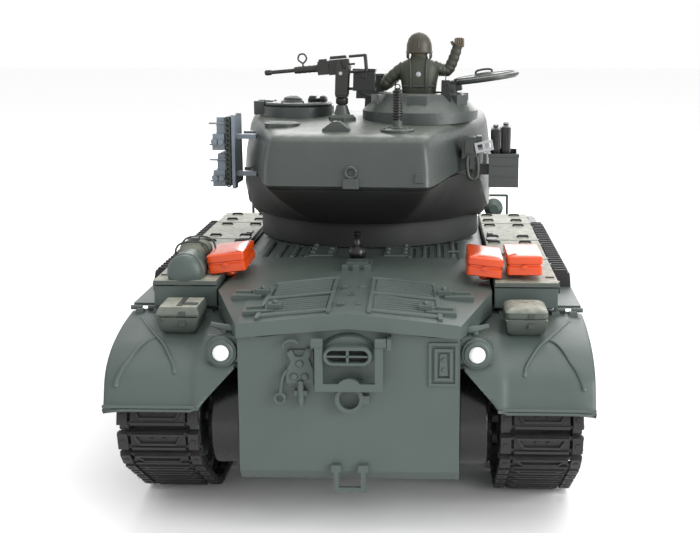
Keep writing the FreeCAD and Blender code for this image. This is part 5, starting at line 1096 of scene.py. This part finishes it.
def exhaustHood():
    # cast hood with a domed top and an oval mouth split by two bars
    shape = bmesh.new()
    rows = []
    for k in range(9):
        share = k / 8
        y = -0.1 - 3.6 * share
        grow = 1.0 - 0.12 * share ** 2
        rows.append([(12.8 * grow * math.cos(a), y, 86.0 + (9.4
                                                            if math.sin(a) > 0 else 6.6) * grow
                      * math.sin(a)) for a in (2 * math.pi * j / 36 for j in range(36))])
    addSkin(shape, rows, closedRows=True, capEnds=True)

    def oval(halfX, halfZ, y, middleZ=86.4):
        return [(math.copysign(halfX - halfZ, math.cos(a)) + halfZ * math.cos(a), y,
                 middleZ + halfZ * math.sin(a)) for a in (2 * math.pi * (j + 0.5) / 36 for j in range(36))]
    addSkin(shape, [oval(11.0, 4.4, -3.2), oval(11.0, 4.4, -8.0), oval(10.5, 3.9, -8.8), oval(9.4, 2.9, -8.8),
                    oval(9.2, 2.7, -8.2), oval(9.2, 2.7, -4.6)], closedRows=True, capEnds=False)
    addBlock(shape, (-9.6, -8.3, 86.4 - 0.45), (9.6, -4.4, 86.4 + 0.45))
    addBlock(shape, (-0.6, -8.3, 83.6), (0.6, -4.4, 89.2))
    finishPiece("exhaust_hood", shape, hullPlace, "hull", hullPaint, bevel=0.15, sharp=45)
    # a near-black plate inside the mouth: painted shade in the hollow
    inside = bmesh.new()
    addSkin(inside, [oval(9.9, 3.4, -4.9), oval(9.9, 3.4, -4.2)], closedRows=True, capEnds=True)
    aerial = bmesh.new()
    addTurned(aerial, [(0, 2.6), (1.4, 4.0), (3.6, 4.6), (6.0, 4.0), (8.0, 2.2), (9.0, 1.5), (12.4, 1.3),
                       (13.4, 1.9), (14.6, 1.9), (15.0, 1.2), (15.0, 0)], (-2.0, 104.0, 109.0), steps=28)
    finishPiece("deck_aerial_rod", aerial, hullPlace, "hull", blackGloss, bevel=0.0, sharp=50)
    finishPiece("exhaust_inside", inside, hullPlace, "hull", paintedShadePaint, bevel=0.1)


remadeNodes = ("hatch_rings", "commander_hatch", "loader_hatch", "upper_hull", "lower_hull", "mudguards",
               "turret_shell", "track_left", "track_right", "orange_boxes", "fender_boxes",
               "fender_track_links", "lamp_lenses", "hull_fittings", "turret_fittings", "turret_track_rack",
               "machine_gun", "mg_yoke", "figure")
edgeRounding = {"screw_steel": 0.1, "board": 0.1, "switch_plastic": 0.15, "wheel_plastic": 0.35,
                "barrel_metal": 0.2, "drive_plastic": 0.5}


# the machine gun points across the turret over its pedestal
gunLine = -49.1
gunPost = -10.1


def machineGun():
    # receiver with a feed cover, perforated jacket, keyhole carrying loop, open spade grip and a belt of
    # rounds
    shape, belt = bmesh.new(), bmesh.new()
    addTurned(shape, [(0, 0), (0, 1.0), (0.6, 1.5), (3.4, 1.5), (3.9, 1.05), (16.4, 1.05), (16.4, 0)],
              (-52.6, gunLine, 208), axis=(1, 0, 0), steps=20)
    addTurned(shape, [(0, 0), (0, 1.3), (0.5, 1.9), (12.4, 1.9), (12.9, 2.3), (14.4, 2.3), (14.4, 0)],
              (-36.2, gunLine, 208), axis=(1, 0, 0), steps=24)
    addBlock(shape, (-23.0, -51.6, 204.3), (-16.6, -46.6, 211.6), taper=0.3)
    addBlock(shape, (-16.8, -51.3, 203.8), (-5.2, -46.9, 211.9), taper=0.3)
    for x0, x1, z in ((-22.4, -17.2, 212.3), (-16.0, -6.4, 213.4)):
        addBlock(shape, (x0, -51.0, z - 1.2), (x1, -47.2, z + 0.5), taper=0.5)
    addBar(shape, smoothLine([(-31.2, gunLine, 209.6), (-31.2, gunLine, 211.4), (-33.4, gunLine, 213.6),
                              (-32.4, gunLine, 216.2), (-29.8, gunLine, 216.2), (-28.8, gunLine, 213.6),
                              (-30.8, gunLine, 211.4)], perRun=5), 0.5, steps=8)
    for z in (213.0, 204.6):
        addBar(shape, [(-5.4, gunLine, z), (4.0, gunLine, z)], 0.8, steps=8)
    addBar(shape, [(3.6, gunLine, 204.2), (3.6, gunLine, 213.4)], 1.0, steps=10)
    addBar(shape, [(-5.4, gunLine, 208.8), (-2.4, gunLine, 208.8)], 0.6, steps=8)
    for k in range(9):
        addTurned(belt, [(0, 0.1), (0.4, 0.7), (4.6, 0.7), (4.6, 0.1)],
                  (-19.6 + 0.1 * k, -46.5 + 0.95 * k, 207.8 - 0.028 * k * k), axis=(0.99, 0, 0.1), steps=10)
    return shape, belt


def leaned(shape, pivot, degrees):
    # tips a shape drawn level about an axis across the turret
    away = Matrix.Translation([-v for v in pivot])
    turn = Matrix.Translation(pivot) @ Matrix.Rotation(math.radians(degrees), 4, "Y") @ away
    bmesh.ops.transform(shape, matrix=turn, verts=shape.verts)
    return shape


def gunAndMount():
    # the gun in its side plates, with the pin and the ammunition box
    shape, belt = machineGun()
    pivot = (gunPost, gunLine, 204.4)
    for x in (-33.2, -30.4, -27.6, -24.8):
        for turn in range(6):
            a = math.radians(60 * turn + 20)
            addTurned(belt, [(0, 0.55), (0.12, 0.55), (0.12, 0.1)],
                      (x, gunLine + 1.86 * math.cos(a), 208 + 1.86 * math.sin(a)),
                      axis=(0, math.cos(a), math.sin(a)), steps=8)
    finishPiece("machine_gun_body", leaned(shape, pivot, -5.0), turretPlace, "mg", gunPaint, bevel=0.12,
                standsFor=("machine_gun",))
    finishPiece("machine_gun_belt", leaned(belt, pivot, -5.0), turretPlace, "mg", beltBrass, bevel=0.05)
    plates = bmesh.new()
    for y in (-54.2, -44.9):
        outline = [(-13.4, y, 192.4), (-13.0, y, 205.0), (-12.6, y, 209.4), (-11.2, y, 212.2),
                   (-9.6, y, 207.2), (-7.6, y, 206.4), (-6.6, y, 209.0), (-5.4, y, 208.0), (-6.2, y, 203.2),
                   (-6.8, y, 192.4)]
        addPrism(plates, outline, (0, 0.9, 0))
    addBlock(plates, (-13.2, -54.0, 191.4), (-7.0, -44.2, 193.6), taper=0.3)
    addTurned(plates, [(0, 0), (0, 2.7), (1.0, 3.4), (3.4, 3.4), (4.4, 2.6), (4.4, 0)],
              (gunPost, gunLine, 187.2), steps=24)
    finishPiece("machine_gun_plates", plates, turretPlace, "mg_mount", gunPaint, bevel=0.15,
                standsFor=("mg_yoke",))
    pin = bmesh.new()
    addTurned(pin, [(0, 0), (0, 0.8), (0.4, 1.0), (0.8, 1.0), (0.8, 0)], (gunPost, -54.3, 204.4),
              axis=(0, -1, 0), steps=18)
    finishPiece("machine_gun_pin", pin, turretPlace, "mg_mount", zincSteel, bevel=0.1)
    case = bmesh.new()
    addBlock(case, (-4.4, -46.4, 194.6), (8.0, -39.6, 205.4), taper=0.25)
    addBlock(case, (-4.7, -46.7, 205.2), (8.2, -39.3, 206.8), taper=0.3)
    addBlock(case, (0.0, -47.2, 201.6), (3.4, -46.2, 206.2), taper=0.1)
    addBlock(case, (-7.2, -46.4, 195.0), (-4.2, -41.0, 196.6), taper=0.1)
    finishPiece("ammunition_box", case, turretPlace, "mg_mount", blackGloss, bevel=0.25)


def crewFace(head, place):
    # a calm, general face of simple forms: brow, nose, closed mouth and ears, turned to the front
    x, y, z = place
    addTurned(head, [(-6.3, 0), (-5.6, 3.0), (-3.6, 4.9), (-0.6, 5.9), (2.4, 5.8), (4.6, 4.2), (5.4, 0)],
              (x, y, z), steps=28)
    for v in head.verts:
        if v.co.z < z - 1:
            v.co.x = x + (v.co.x - x) * 0.86
    addBar(head, [(x - 3.2, y + 5.3, z + 1.5), (x, y + 6.0, z + 1.7), (x + 3.2, y + 5.3, z + 1.5)], 0.55,
           steps=8)
    addBar(head, [(x, y + 5.6, z + 1.2), (x, y + 6.3, z - 0.1), (x, y + 6.9, z - 1.2)], [0.45, 0.6, 0.8],
           steps=10)
    addBar(head, smoothLine([(x - 1.6, y + 5.0, z - 3.0), (x, y + 5.4, z - 3.05),
                             (x + 1.6, y + 5.0, z - 3.0)], perRun=4), 0.4, steps=8)
    for side in (-1, 1):
        addTurned(head, [(0, 0), (0.1, 0.62), (0.4, 0.5), (0.45, 0)], (x + side * 1.9, y + 5.2, z + 0.3),
                  axis=(0, 1, 0), steps=12)
        addBar(head, [(x + side * 5.5, y, z + 1.2), (x + side * 6.0, y - 0.2, z),
                      (x + side * 5.4, y, z - 1.4)], 0.7, steps=8)


def crewFigure():
    # a crewman in a strapped jacket and a ribbed helmet, the right fist raised
    jacket, straps, head, helmet = bmesh.new(), bmesh.new(), bmesh.new(), bmesh.new()
    x, y = 31.5, -36.8
    rows = []
    for z, hx, hy in ((176.2, 8.6, 7.0), (186.0, 8.8, 7.2), (193.0, 9.2, 7.4), (199.0, 10.0, 7.6),
                      (204.0, 11.0, 7.4), (208.4, 11.0, 6.6), (210.6, 8.6, 5.6), (212.0, 5.0, 4.6),
                      (214.4, 4.2, 4.2)):
        rows.append([(x + hx * math.copysign(abs(math.cos(a)) ** 0.8, math.cos(a)),
                      y + hy * math.copysign(abs(math.sin(a)) ** 0.85, math.sin(a)),
                      z + 0.35 * noise.noise(Vector((3 * math.cos(a), 3 * math.sin(a), z / 5))))
                     for a in (2 * math.pi * k / 36 for k in range(36))])
    addSkin(jacket, rows, closedRows=True, capEnds=True)
    limbs = (((8.0, 0, 207.6), (11.6, 0.8, 206.2), (15.4, 1.5, 205.6), (17.6, 1.5, 208.8), (19.6, 1.5, 213.8),
              (21.0, 1.5, 218.8)), ((-8.0, 0, 207.4), (-12.6, 0.4, 204.0), (-17.0, 1.0, 200.2),
                                    (-19.2, 1.6, 197.4), (-16.8, 8.0, 198.6), (-14.6, 12.6, 200.6)))
    for points in limbs:
        line = smoothLine([(x + dx, y + dy, z) for dx, dy, z in points], perRun=7)
        girth = [3.6 - 0.9 * k / (len(line) - 1) + 0.16 * math.sin(k * 1.5) for k in range(len(line))]
        addBar(jacket, line, girth, steps=18)
    for dx in (-4.2, 4.2):
        addBar(straps, smoothLine([(x + dx * 1.0, y - 7.3, 196.0), (x + dx, y - 7.7, 203.0),
                                   (x + dx * 1.05, y - 6.9, 208.6), (x + dx * 1.1, y - 4.8, 211.4),
                                   (x + dx * 1.1, y + 1.0, 211.6), (x + dx * 1.1, y + 5.6, 209.2),
                                   (x + dx, y + 7.4, 203.0)], perRun=5), 0.55, steps=8)
    addBar(straps, [(x - 8.4, y - 5.6, 197.2), (x, y - 7.9, 197.0), (x + 8.4, y - 5.6, 197.2)], 0.6, steps=8)
    finishPiece("crew_jacket", jacket, turretPlace, "crewman", figurePaint, bevel=0.0, sharp=60,
                standsFor=("figure",))
    finishPiece("crew_straps", straps, turretPlace, "crewman", darkPaint, bevel=0.0, sharp=60)
    # bare hands, the right one a raised fist with its thumb to the left
    fist = (x + 22.0, y + 1.5, 220.6)
    addRoundedBlock(head, fist, (2.7, 1.9, 2.4), 1.1, puff=0.5)
    addBar(head, smoothLine([(fist[0] - 1.6, fist[1], fist[2] - 1.8), (fist[0] - 3.6, fist[1], fist[2] - 0.4),
                             (fist[0] - 4.2, fist[1], fist[2] + 0.9)], perRun=4), 0.9, steps=10)
    for k in range(4):
        addBar(head, [(fist[0] - 1.9 + 1.27 * k, fist[1] - 1.9, fist[2] - 0.6),
                      (fist[0] - 1.9 + 1.27 * k, fist[1] - 1.6, fist[2] + 2.5)], 0.62, steps=8)
    addRoundedBlock(head, (x - 13.8, y + 13.6, 201.0), (1.8, 2.2, 1.3), 0.8, puff=0.3)
    crewFace(head, (x, y + 0.4, 217.2))
    addTurned(head, [(0, 3.2), (4.6, 3.0)], (x, y, 211.6), steps=20)
    finishPiece("crew_head_and_hands", head, turretPlace, "crewman", skinPaint, bevel=0.0, sharp=60)
    addTurned(helmet, [(-1.6, 6.3), (-2.0, 6.8), (-1.6, 7.1), (-0.6, 7.1), (3.0, 6.9), (6.0, 5.9), (8.0, 4.3),
                       (9.2, 2.3), (9.6, 0)], (x, y + 0.2, 216.8), steps=36)
    seam = [(x, y + 0.2 - 7.1 * math.cos(a), 216.9 + 9.2 * math.sin(a))
            for a in (math.radians(6 + 12 * k) for k in range(15))]
    addBar(helmet, seam, 0.5, steps=8)
    addBar(helmet, [(x + 7.0 * math.cos(a), y + 0.2 + 7.0 * math.sin(a), 215.6)
                    for a in (2 * math.pi * k / 36 for k in range(37))], 0.5, steps=8)
    for side in (-1, 1):
        addTurned(helmet, [(0, 2.3), (0.9, 2.1), (1.5, 1.3), (1.6, 0)], (x + side * 5.6, y + 0.4, 213.9),
                  axis=(side, 0, 0), steps=18)
    finishPiece("crew_helmet", helmet, turretPlace, "crewman", helmetPaint, bevel=0.0, sharp=50)
    screw = bmesh.new()
    addTurned(screw, [(0, 0), (0, 1.5), (0.5, 1.3), (0.9, 0.5), (0.9, 0)], (x, y - 7.3, 203.6),
              axis=(0, -1, 0), steps=20)
    finishPiece("crew_back_screw", screw, turretPlace, "crewman", zincSteel, bevel=0.08)


def turretRadio():
    # small set with fine wires on the cupola's right, beside the crewman
    shape = bmesh.new()
    addBlock(shape, (44.6, -56.0, 193.0), (49.4, -52.6, 201.0), taper=0.2)
    addBlock(shape, (45.2, -56.4, 198.2), (48.8, -55.8, 200.2), taper=0.1)
    addBar(shape, smoothLine([(47.0, -54.0, 200.8), (46.6, -52.0, 204.0), (43.0, -50.0, 203.0)], perRun=5),
           0.3, steps=6)
    addBlock(shape, (43.6, -56.6, 190.0), (50.4, -52.0, 193.2), taper=0.3)
    finishPiece("turret_radio", shape, turretPlace, "turret", blackGloss, bevel=0.15)


def linkRack():
    # steel rack on the turret's left flank: two stacked spare links with bosses and pins, and the hanging
    # chain behind
    plates, chain = bmesh.new(), bmesh.new()
    addBlock(plates, (-66.5, -76.0, 143.5), (-64.7, -69.0, 183.0))
    addBlock(plates, (-69.6, -69.6, 144.5), (-66.6, -46.0, 182.0), taper=0.4)
    for k in range(2):
        z = 144.5 + k * 19.6
        addBlock(plates, (-77.4, -75.0, z), (-70.4, -45.0, z + 8.8), taper=0.3)
        addBlock(plates, (-75.2, -73.4, z + 8.6), (-70.4, -46.6, z + 17.6), taper=0.3)
        addBlock(plates, (-77.8, -73.0, z + 1.6), (-76.8, -47.0, z + 7.0), taper=0.2)
        for y in (-71.0, -60.0, -49.0):
            addTurned(plates, [(0, 1.5), (1.1, 1.3), (1.5, 0.7), (1.5, 0)], (-77.3, y, z + 4.3),
                      axis=(-1, 0, 0), steps=14)
            addTurned(plates, [(0, 1.2), (0.8, 1.0), (1.1, 0.4), (1.1, 0)], (-75.0, y + 2.0, z + 13.0),
                      axis=(-1, 0, 0), steps=14)
        for zPin in (z + 3.0, z + 14.4):
            addBar(plates, [(-78.9, -74.4, zPin), (-70.0, -74.4, zPin)], 0.5, steps=8)
        for x in (-75.6, -72.2):
            addTurned(plates, [(0, 0), (0, 1.5), (2.2, 1.5), (2.2, 0)], (x, -75.2, z + 4.4), axis=(0, -1, 0),
                      steps=14)
    for y in (-70.0, -50.0):
        for z in (150.0, 170.0):
            addBlock(plates, (-64.8, y - 2, z), (-54.0, y + 2, z + 2.6))
    for k in range(14):
        z = 146.0 + 2.6 * k
        addBar(chain, [(-68.6 + 1.2 * math.cos(a), -75.0, z + 1.5 * math.sin(a))
                       for a in (2 * math.pi * j / 10 for j in range(11))], 0.5, steps=6)
    addBlock(chain, (-70.2, -74.2, 145.0), (-66.7, -46.0, 182.0), taper=0.3)
    finishPiece("link_rack_plates", plates, turretPlace, "turret", rackPaint, bevel=0.2,
                standsFor=("turret_track_rack",))
    finishPiece("link_rack_chain", chain, turretPlace, "turret", darkPaint, bevel=0.1)


def binAndCans():
    # open stowage bin on the right flank with two upright cans, their caps and pressed panels
    bin_, cans = bmesh.new(), bmesh.new()
    for low, high in (((71.0, -66.0, 144.5), (87.0, -34.0, 147.0)),
                      ((71.0, -66.0, 146.8), (87.0, -64.7, 162.5)),
                      ((71.0, -35.3, 146.8), (87.0, -34.0, 162.5)),
                      ((71.0, -64.9, 146.8), (72.3, -35.1, 162.5)),
                      ((85.7, -64.9, 146.8), (87.0, -35.1, 162.5))):
        addBlock(bin_, low, high)
    addBlock(bin_, (70.6, -66.4, 160.8), (87.4, -65.6, 162.6), taper=0.1)
    for z in (150.4, 156.2):
        addBar(bin_, [(73.0, -66.0, z), (85.0, -66.0, z)], 0.4, steps=8)
    addBlock(bin_, (60.0, -54.0, 150.0), (71.4, -46.0, 156.0))
    for x, top in ((74.4, 175.4), (79.9, 176.6)):
        addRoundedBlock(cans, (x, -50.0, (147.2 + top) / 2), (2.7, 9.8, (top - 147.2) / 2), 1.4, puff=0.7)
        for dy in (-4.2, 4.2):
            addTurned(cans, [(0, 1.5), (1.0, 1.5), (1.3, 1.1), (1.3, 0)], (x, -50.0 + dy, top), steps=14)
        addBar(cans, [(x, -59.9, 150.0), (x, -60.0, 172.0)], 0.4, steps=8)
    finishPiece("stowage_bin", bin_, turretPlace, "turret", turretPaint, bevel=0.2)
    finishPiece("stowed_cans", cans, turretPlace, "turret", blackGloss, bevel=0.15)


def flankBracket():
    # dark clamp block on the right flank with a hanging hook, and a bright slotted plate beside it
    shape, plate = bmesh.new(), bmesh.new()
    addBlock(shape, (56.6, -74.0, 160.6), (64.6, -63.0, 172.0), taper=0.4)
    addBlock(shape, (58.2, -75.2, 163.4), (62.8, -73.4, 170.4), taper=0.3)
    addBlock(shape, (64.0, -72.0, 166.4), (67.6, -62.0, 172.4), taper=0.4)
    addBlock(shape, (67.8, -70.4, 157.4), (70.0, -64.0, 163.2), taper=0.3)
    loop = smoothLine([(59.8, -74.0, 162.0), (59.6, -74.4, 157.0), (60.6, -74.6, 151.4), (62.8, -74.6, 149.8),
                       (65.0, -74.4, 151.6), (65.4, -74.2, 157.0), (64.8, -73.8, 161.6)], perRun=6)
    addBar(shape, loop, 1.0, steps=12)
    addBlock(shape, (60.8, -74.2, 155.0), (64.0, -73.0, 161.4), taper=0.3)
    turn = Matrix.Translation((64.4, -74.6, 163.6)) @ Matrix.Rotation(math.radians(-12), 4, "Y")
    for low, high in (((0, 0, 0), (9.6, 1.0, 1.3)), ((0, 0, 4.2), (9.6, 1.0, 5.4)),
                      ((0, 0, 1.2), (1.4, 1.0, 4.3)), ((8.2, 0, 1.2), (9.6, 1.0, 4.3)),
                      ((4.0, 0, 1.2), (5.4, 1.0, 4.3))):
        addBlock(plate, low, high, turn=turn)
    finishPiece("flank_bracket", shape, turretPlace, "turret", hatchPaint, bevel=0.2)
    finishPiece("flank_slotted_plate", plate, turretPlace, "turret", zincSteel, bevel=0.1)


def roofFittings():
    # disc plate, gabled block, aerial with its coiled spring, lifting eye, sight on its stand, faceted gun
    # base
    aerialX = 23.8
    aerialY = -88.0
    metal, coil, sight = bmesh.new(), bmesh.new(), bmesh.new()
    top = turretRoof(-69.6)
    addTurned(metal, [(-3, 9.4), (0.9, 9.6), (1.3, 9.2), (1.3, 7.4), (1.7, 7.0), (1.7, 0)],
              (-39.9, -69.6, top), steps=40)
    addPrism(metal, [(-15.2, -92.0, 172.0), (-1.0, -92.0, 172.0), (-1.0, -92.0, 177.2), (-6.2, -92.0, 181.2),
                     (-9.6, -92.0, 181.2), (-15.2, -92.0, 177.2)], (0, 6.0, 0))
    foot = turretRoof(-88)
    addTurned(metal, [(-3, 8.8), (0.8, 9.0), (1.2, 8.4), (1.2, 3.4), (2.0, 3.4), (2.4, 2.6), (5.4, 2.6),
                      (5.4, 0)], (aerialX, aerialY, foot), steps=36)
    for k in range(6):
        a = math.radians(60 * k + 15)
        addTurned(metal, [(0, 0.8), (0.7, 0.7), (0.9, 0)], (aerialX + 6.8 * math.cos(a),
                                                            aerialY + 6.8 * math.sin(a), foot + 1.1), steps=6)
    addTurned(coil, [(0, 1.9), (16.4, 1.7), (17.2, 1.1), (17.2, 0)], (aerialX, aerialY, foot + 5.0), steps=20)
    helix = [(aerialX + 2.1 * math.cos(a), aerialY + 2.1 * math.sin(a),
              foot + 5.6 + 15.4 * a / (22 * math.pi)) for a in (2 * math.pi * k / 12 for k in range(133))]
    addBar(coil, helix, 0.62, steps=6)
    wire = [(aerialX + 1.3 * math.cos(a), aerialY, foot + 22.6 + 1.5 * math.sin(a))
            for a in (math.radians(-80 + 22 * k) for k in range(16))]
    addBar(coil, wire, 0.3, steps=6)
    addBlock(metal, (-2.0, -113.6, 148.8), (6.2, -110.6, 153.8), taper=0.3)
    addBar(metal, [(2.1 + 2.7 * math.cos(a), -112.3, 157.0 + 2.7 * math.sin(a))
                   for a in (2 * math.pi * k / 20 for k in range(21))], 0.85, steps=10)
    addBlock(metal, (34.4, -112.7, 152.2), (39.4, -110.6, 156.6), taper=0.4)
    addTurned(metal, [(-2, 8.4), (1.4, 8.2), (3.0, 6.2), (3.0, 0)], (gunPost, gunLine, turretRoof(-49)),
              steps=6)
    addTurned(metal, [(0, 4.6), (2.0, 3.9), (5.2, 3.0), (5.2, 1.65)],
              (gunPost, gunLine, turretRoof(-49) + 2.8), steps=28)
    addTurned(sight, [(0, 3.8), (9.0, 3.2), (11.6, 3.4), (11.6, 0)], (3.0, -24.0, 179.0), steps=24)
    addBlock(sight, (-5.0, -27.0, 189.4), (11.0, -12.0, 203.0), taper=0.5)
    addBlock(sight, (-5.4, -27.3, 202.0), (11.4, -11.7, 203.4), taper=0.4)
    addTurned(sight, [(0, 4.3), (-0.8, 5.3), (-1.4, 5.3), (-1.4, 4.4), (-0.4, 3.9), (-0.4, 0)],
              (3.0, -27.0, 195.6), axis=(0, 1, 0), steps=32)
    for x in (-2.6, 8.6):
        addTurned(sight, [(0, 0.8), (0.5, 0.7), (0.5, 0)], (x, -27.0, 200.4), axis=(0, -1, 0), steps=6)
    finishPiece("roof_fittings", metal, turretPlace, "turret", turretPaint, bevel=0.2,
                standsFor=("turret_fittings",))
    finishPiece("aerial_coil", coil, turretPlace, "turret", blackGloss, bevel=0.0, sharp=60)
    finishPiece("sight_housing", sight, turretPlace, "turret", turretPaint, bevel=0.3)


def hatchDetails():
    # raised rim and grab handle on the commander's lid, two-step dome and periscope on the loader's lid
    shape, rim = bmesh.new(), bmesh.new()
    for dx, dy, z, hx, hy, hz in ((11.5, -0.5, 188.0, 5.0, 4.0, 1.4), (8.4, -0.5, 189.2, 1.6, 3.4, 1.5),
                                  (14.6, -0.5, 189.2, 1.6, 3.4, 1.5)):
        addRoundedBlock(shape, (-38.4 + dx, -25.7 + dy, z), (hx, hy, hz), 0.8, puff=0.3)
    addTurned(shape, [(1.8, 6.6), (2.6, 6.4), (3.0, 5.2), (4.4, 4.6), (5.2, 2.8), (5.5, 0)],
              (-41.0, -29.0, 185.4), steps=32)
    addBlock(shape, (-57.6, -29.4, 186.9), (-52.0, -22.0, 188.2), taper=0.4)
    for k in range(8):
        a = math.radians(45 * k + 20)
        addTurned(shape, [(1.9, 0.7), (2.5, 0.6), (2.7, 0)],
                  (-38.4 + 15.6 * math.cos(a), -25.7 + 15.6 * math.sin(a), 185.4), steps=8)
    finishPiece("loader_lid_details", shape, turretPlace, "loader_hatch", hatchPaint, bevel=0.12)
    pivot = (50.2, -36.8, 196.1)
    ring = [(68.3 + 16.6 * math.cos(a), -36.8 + 16.6 * math.sin(a), 200.6)
            for a in (2 * math.pi * k / 40 for k in range(41))]
    addBar(rim, ring, 0.5, steps=8)
    addBar(rim, smoothLine([(63.8, -36.8, 201.0), (64.2, -36.8, 203.2), (68.3, -36.8, 203.8),
                            (72.4, -36.8, 203.2), (72.8, -36.8, 201.0)], perRun=4), 0.6, steps=8)
    finishPiece("commander_lid_rim", leaned(rim, pivot, -8.0), turretPlace, "commander_hatch", hatchPaint,
                bevel=0.0, sharp=60)


orangeBoxes()
mudBoxes()
fenderLockers()
canisterAndBundle()
spareLinks()
rearLamps()
toolBracket()
platePanel()
exhaustHood()
softCopy("hull_fittings", hullPaint, bevel=0.25, without=remadeFittings)
print("rear plate and stowage made")

gunAndMount()
crewFigure()
turretRadio()
linkRack()
binAndCans()
flankBracket()
roofFittings()
hatchDetails()
softCopy("hatch_rings", turretPaint, bevel=0.4)
softCopy("commander_hatch", hatchPaint, bevel=0.3)
softCopy("loader_hatch", hatchPaint, bevel=0.3)
softCopy("mudguards", hullPaint, bevel=0.3, without=((-112, 112, -10, 80, 50, 110),))
softCopy("lamp_lenses", lensPlastic, bevel=0.1, without=((-70, 70, -10, 20, 60, 110),))
print("turret fittings and crew made")

for part in frame["record"]["subparts"]:
    if part["node"] not in remadeNodes:
        softCopy(part["node"], slotMaterials[part["material_slot"]],
                 bevel=edgeRounding.get(part["material_slot"], 0.3))
print("running gear and inner parts finished")

cameraLook = {"place": (37.2, -546.4, 230.6), "forward": (-0.032, 0.982, -0.188), "lens": 64.85,
              "shiftX": -0.0596, "shiftY": -0.0013}
lens = bpy.data.cameras.new("camera")
lens.lens = cameraLook["lens"]
lens.sensor_width = 36.0
lens.shift_x = cameraLook["shiftX"]
lens.shift_y = cameraLook["shiftY"]
lens.clip_start = 0.01
camera = bpy.data.objects.new("camera", lens)
camera.location = hullPlace @ Vector(cameraLook["place"])
camera.rotation_euler = Vector(cameraLook["forward"]).to_track_quat("-Z", "Y").to_euler()
bpy.context.scene.collection.objects.link(camera)
bpy.context.scene.camera = camera

lights = {"overhead": {"place": (0.3, -0.2, 1.5), "aim": (0.0, 0.0, 0.1), "size": 1.2, "power": 6.0},
          "beyond": {"place": (0.25, 1.5, 1.0), "aim": (0.0, 0.0, 0.15), "size": 1.5, "power": 20.0},
          "rightRear": {"place": (1.5, -1.1, 0.6), "aim": (0.0, -0.1, 0.1), "size": 1.0, "power": 26.0}}
for name, light in lights.items():
    lamp = bpy.data.lights.new(name, "AREA")
    lamp.shape = "SQUARE"
    lamp.size = light["size"]
    lamp.energy = light["power"]
    holder = bpy.data.objects.new(name, lamp)
    holder.location = light["place"]
    holder.rotation_euler = (Vector(light["aim"])
                             - Vector(light["place"])).to_track_quat("-Z", "Y").to_euler()
    bpy.context.scene.collection.objects.link(holder)

world = bpy.data.worlds.new("studio")
world.use_nodes = True
world.node_tree.nodes["Background"].inputs["Color"].default_value = (1.0, 1.0, 1.0, 1.0)
world.node_tree.nodes["Background"].inputs["Strength"].default_value = 1.0
bpy.context.scene.world = world
bpy.context.scene.view_settings.view_transform = "Standard"

floorMesh = bpy.data.meshes.new("floor")
reach = 6.0
floorMesh.from_pydata([(-reach, -reach, 0), (reach, -reach, 0), (reach, reach, 0), (-reach, reach, 0)], [],
                      [(0, 1, 2, 3)])
floorPaper, tree, place = startMaterial("white_studio_paper")
fibre = addNode(tree, "ShaderNodeTexNoise", {"Vector": place, "Scale": 400.0, "Detail": 2.0})
fibreBump = addNode(tree, "ShaderNodeBump", {"Height": fibre.outputs["Fac"], "Strength": 0.05,
                                             "Distance": 0.0001})
endMaterial(floorPaper, tree, colour=linearColour("#fbfbfb"), roughness=0.9,
            normal=fibreBump.outputs["Normal"])
floorMesh.materials.append(floorPaper)
floor = bpy.data.objects.new("floor", floorMesh)
bpy.context.scene.collection.objects.link(floor)
print("camera, lights and floor set")
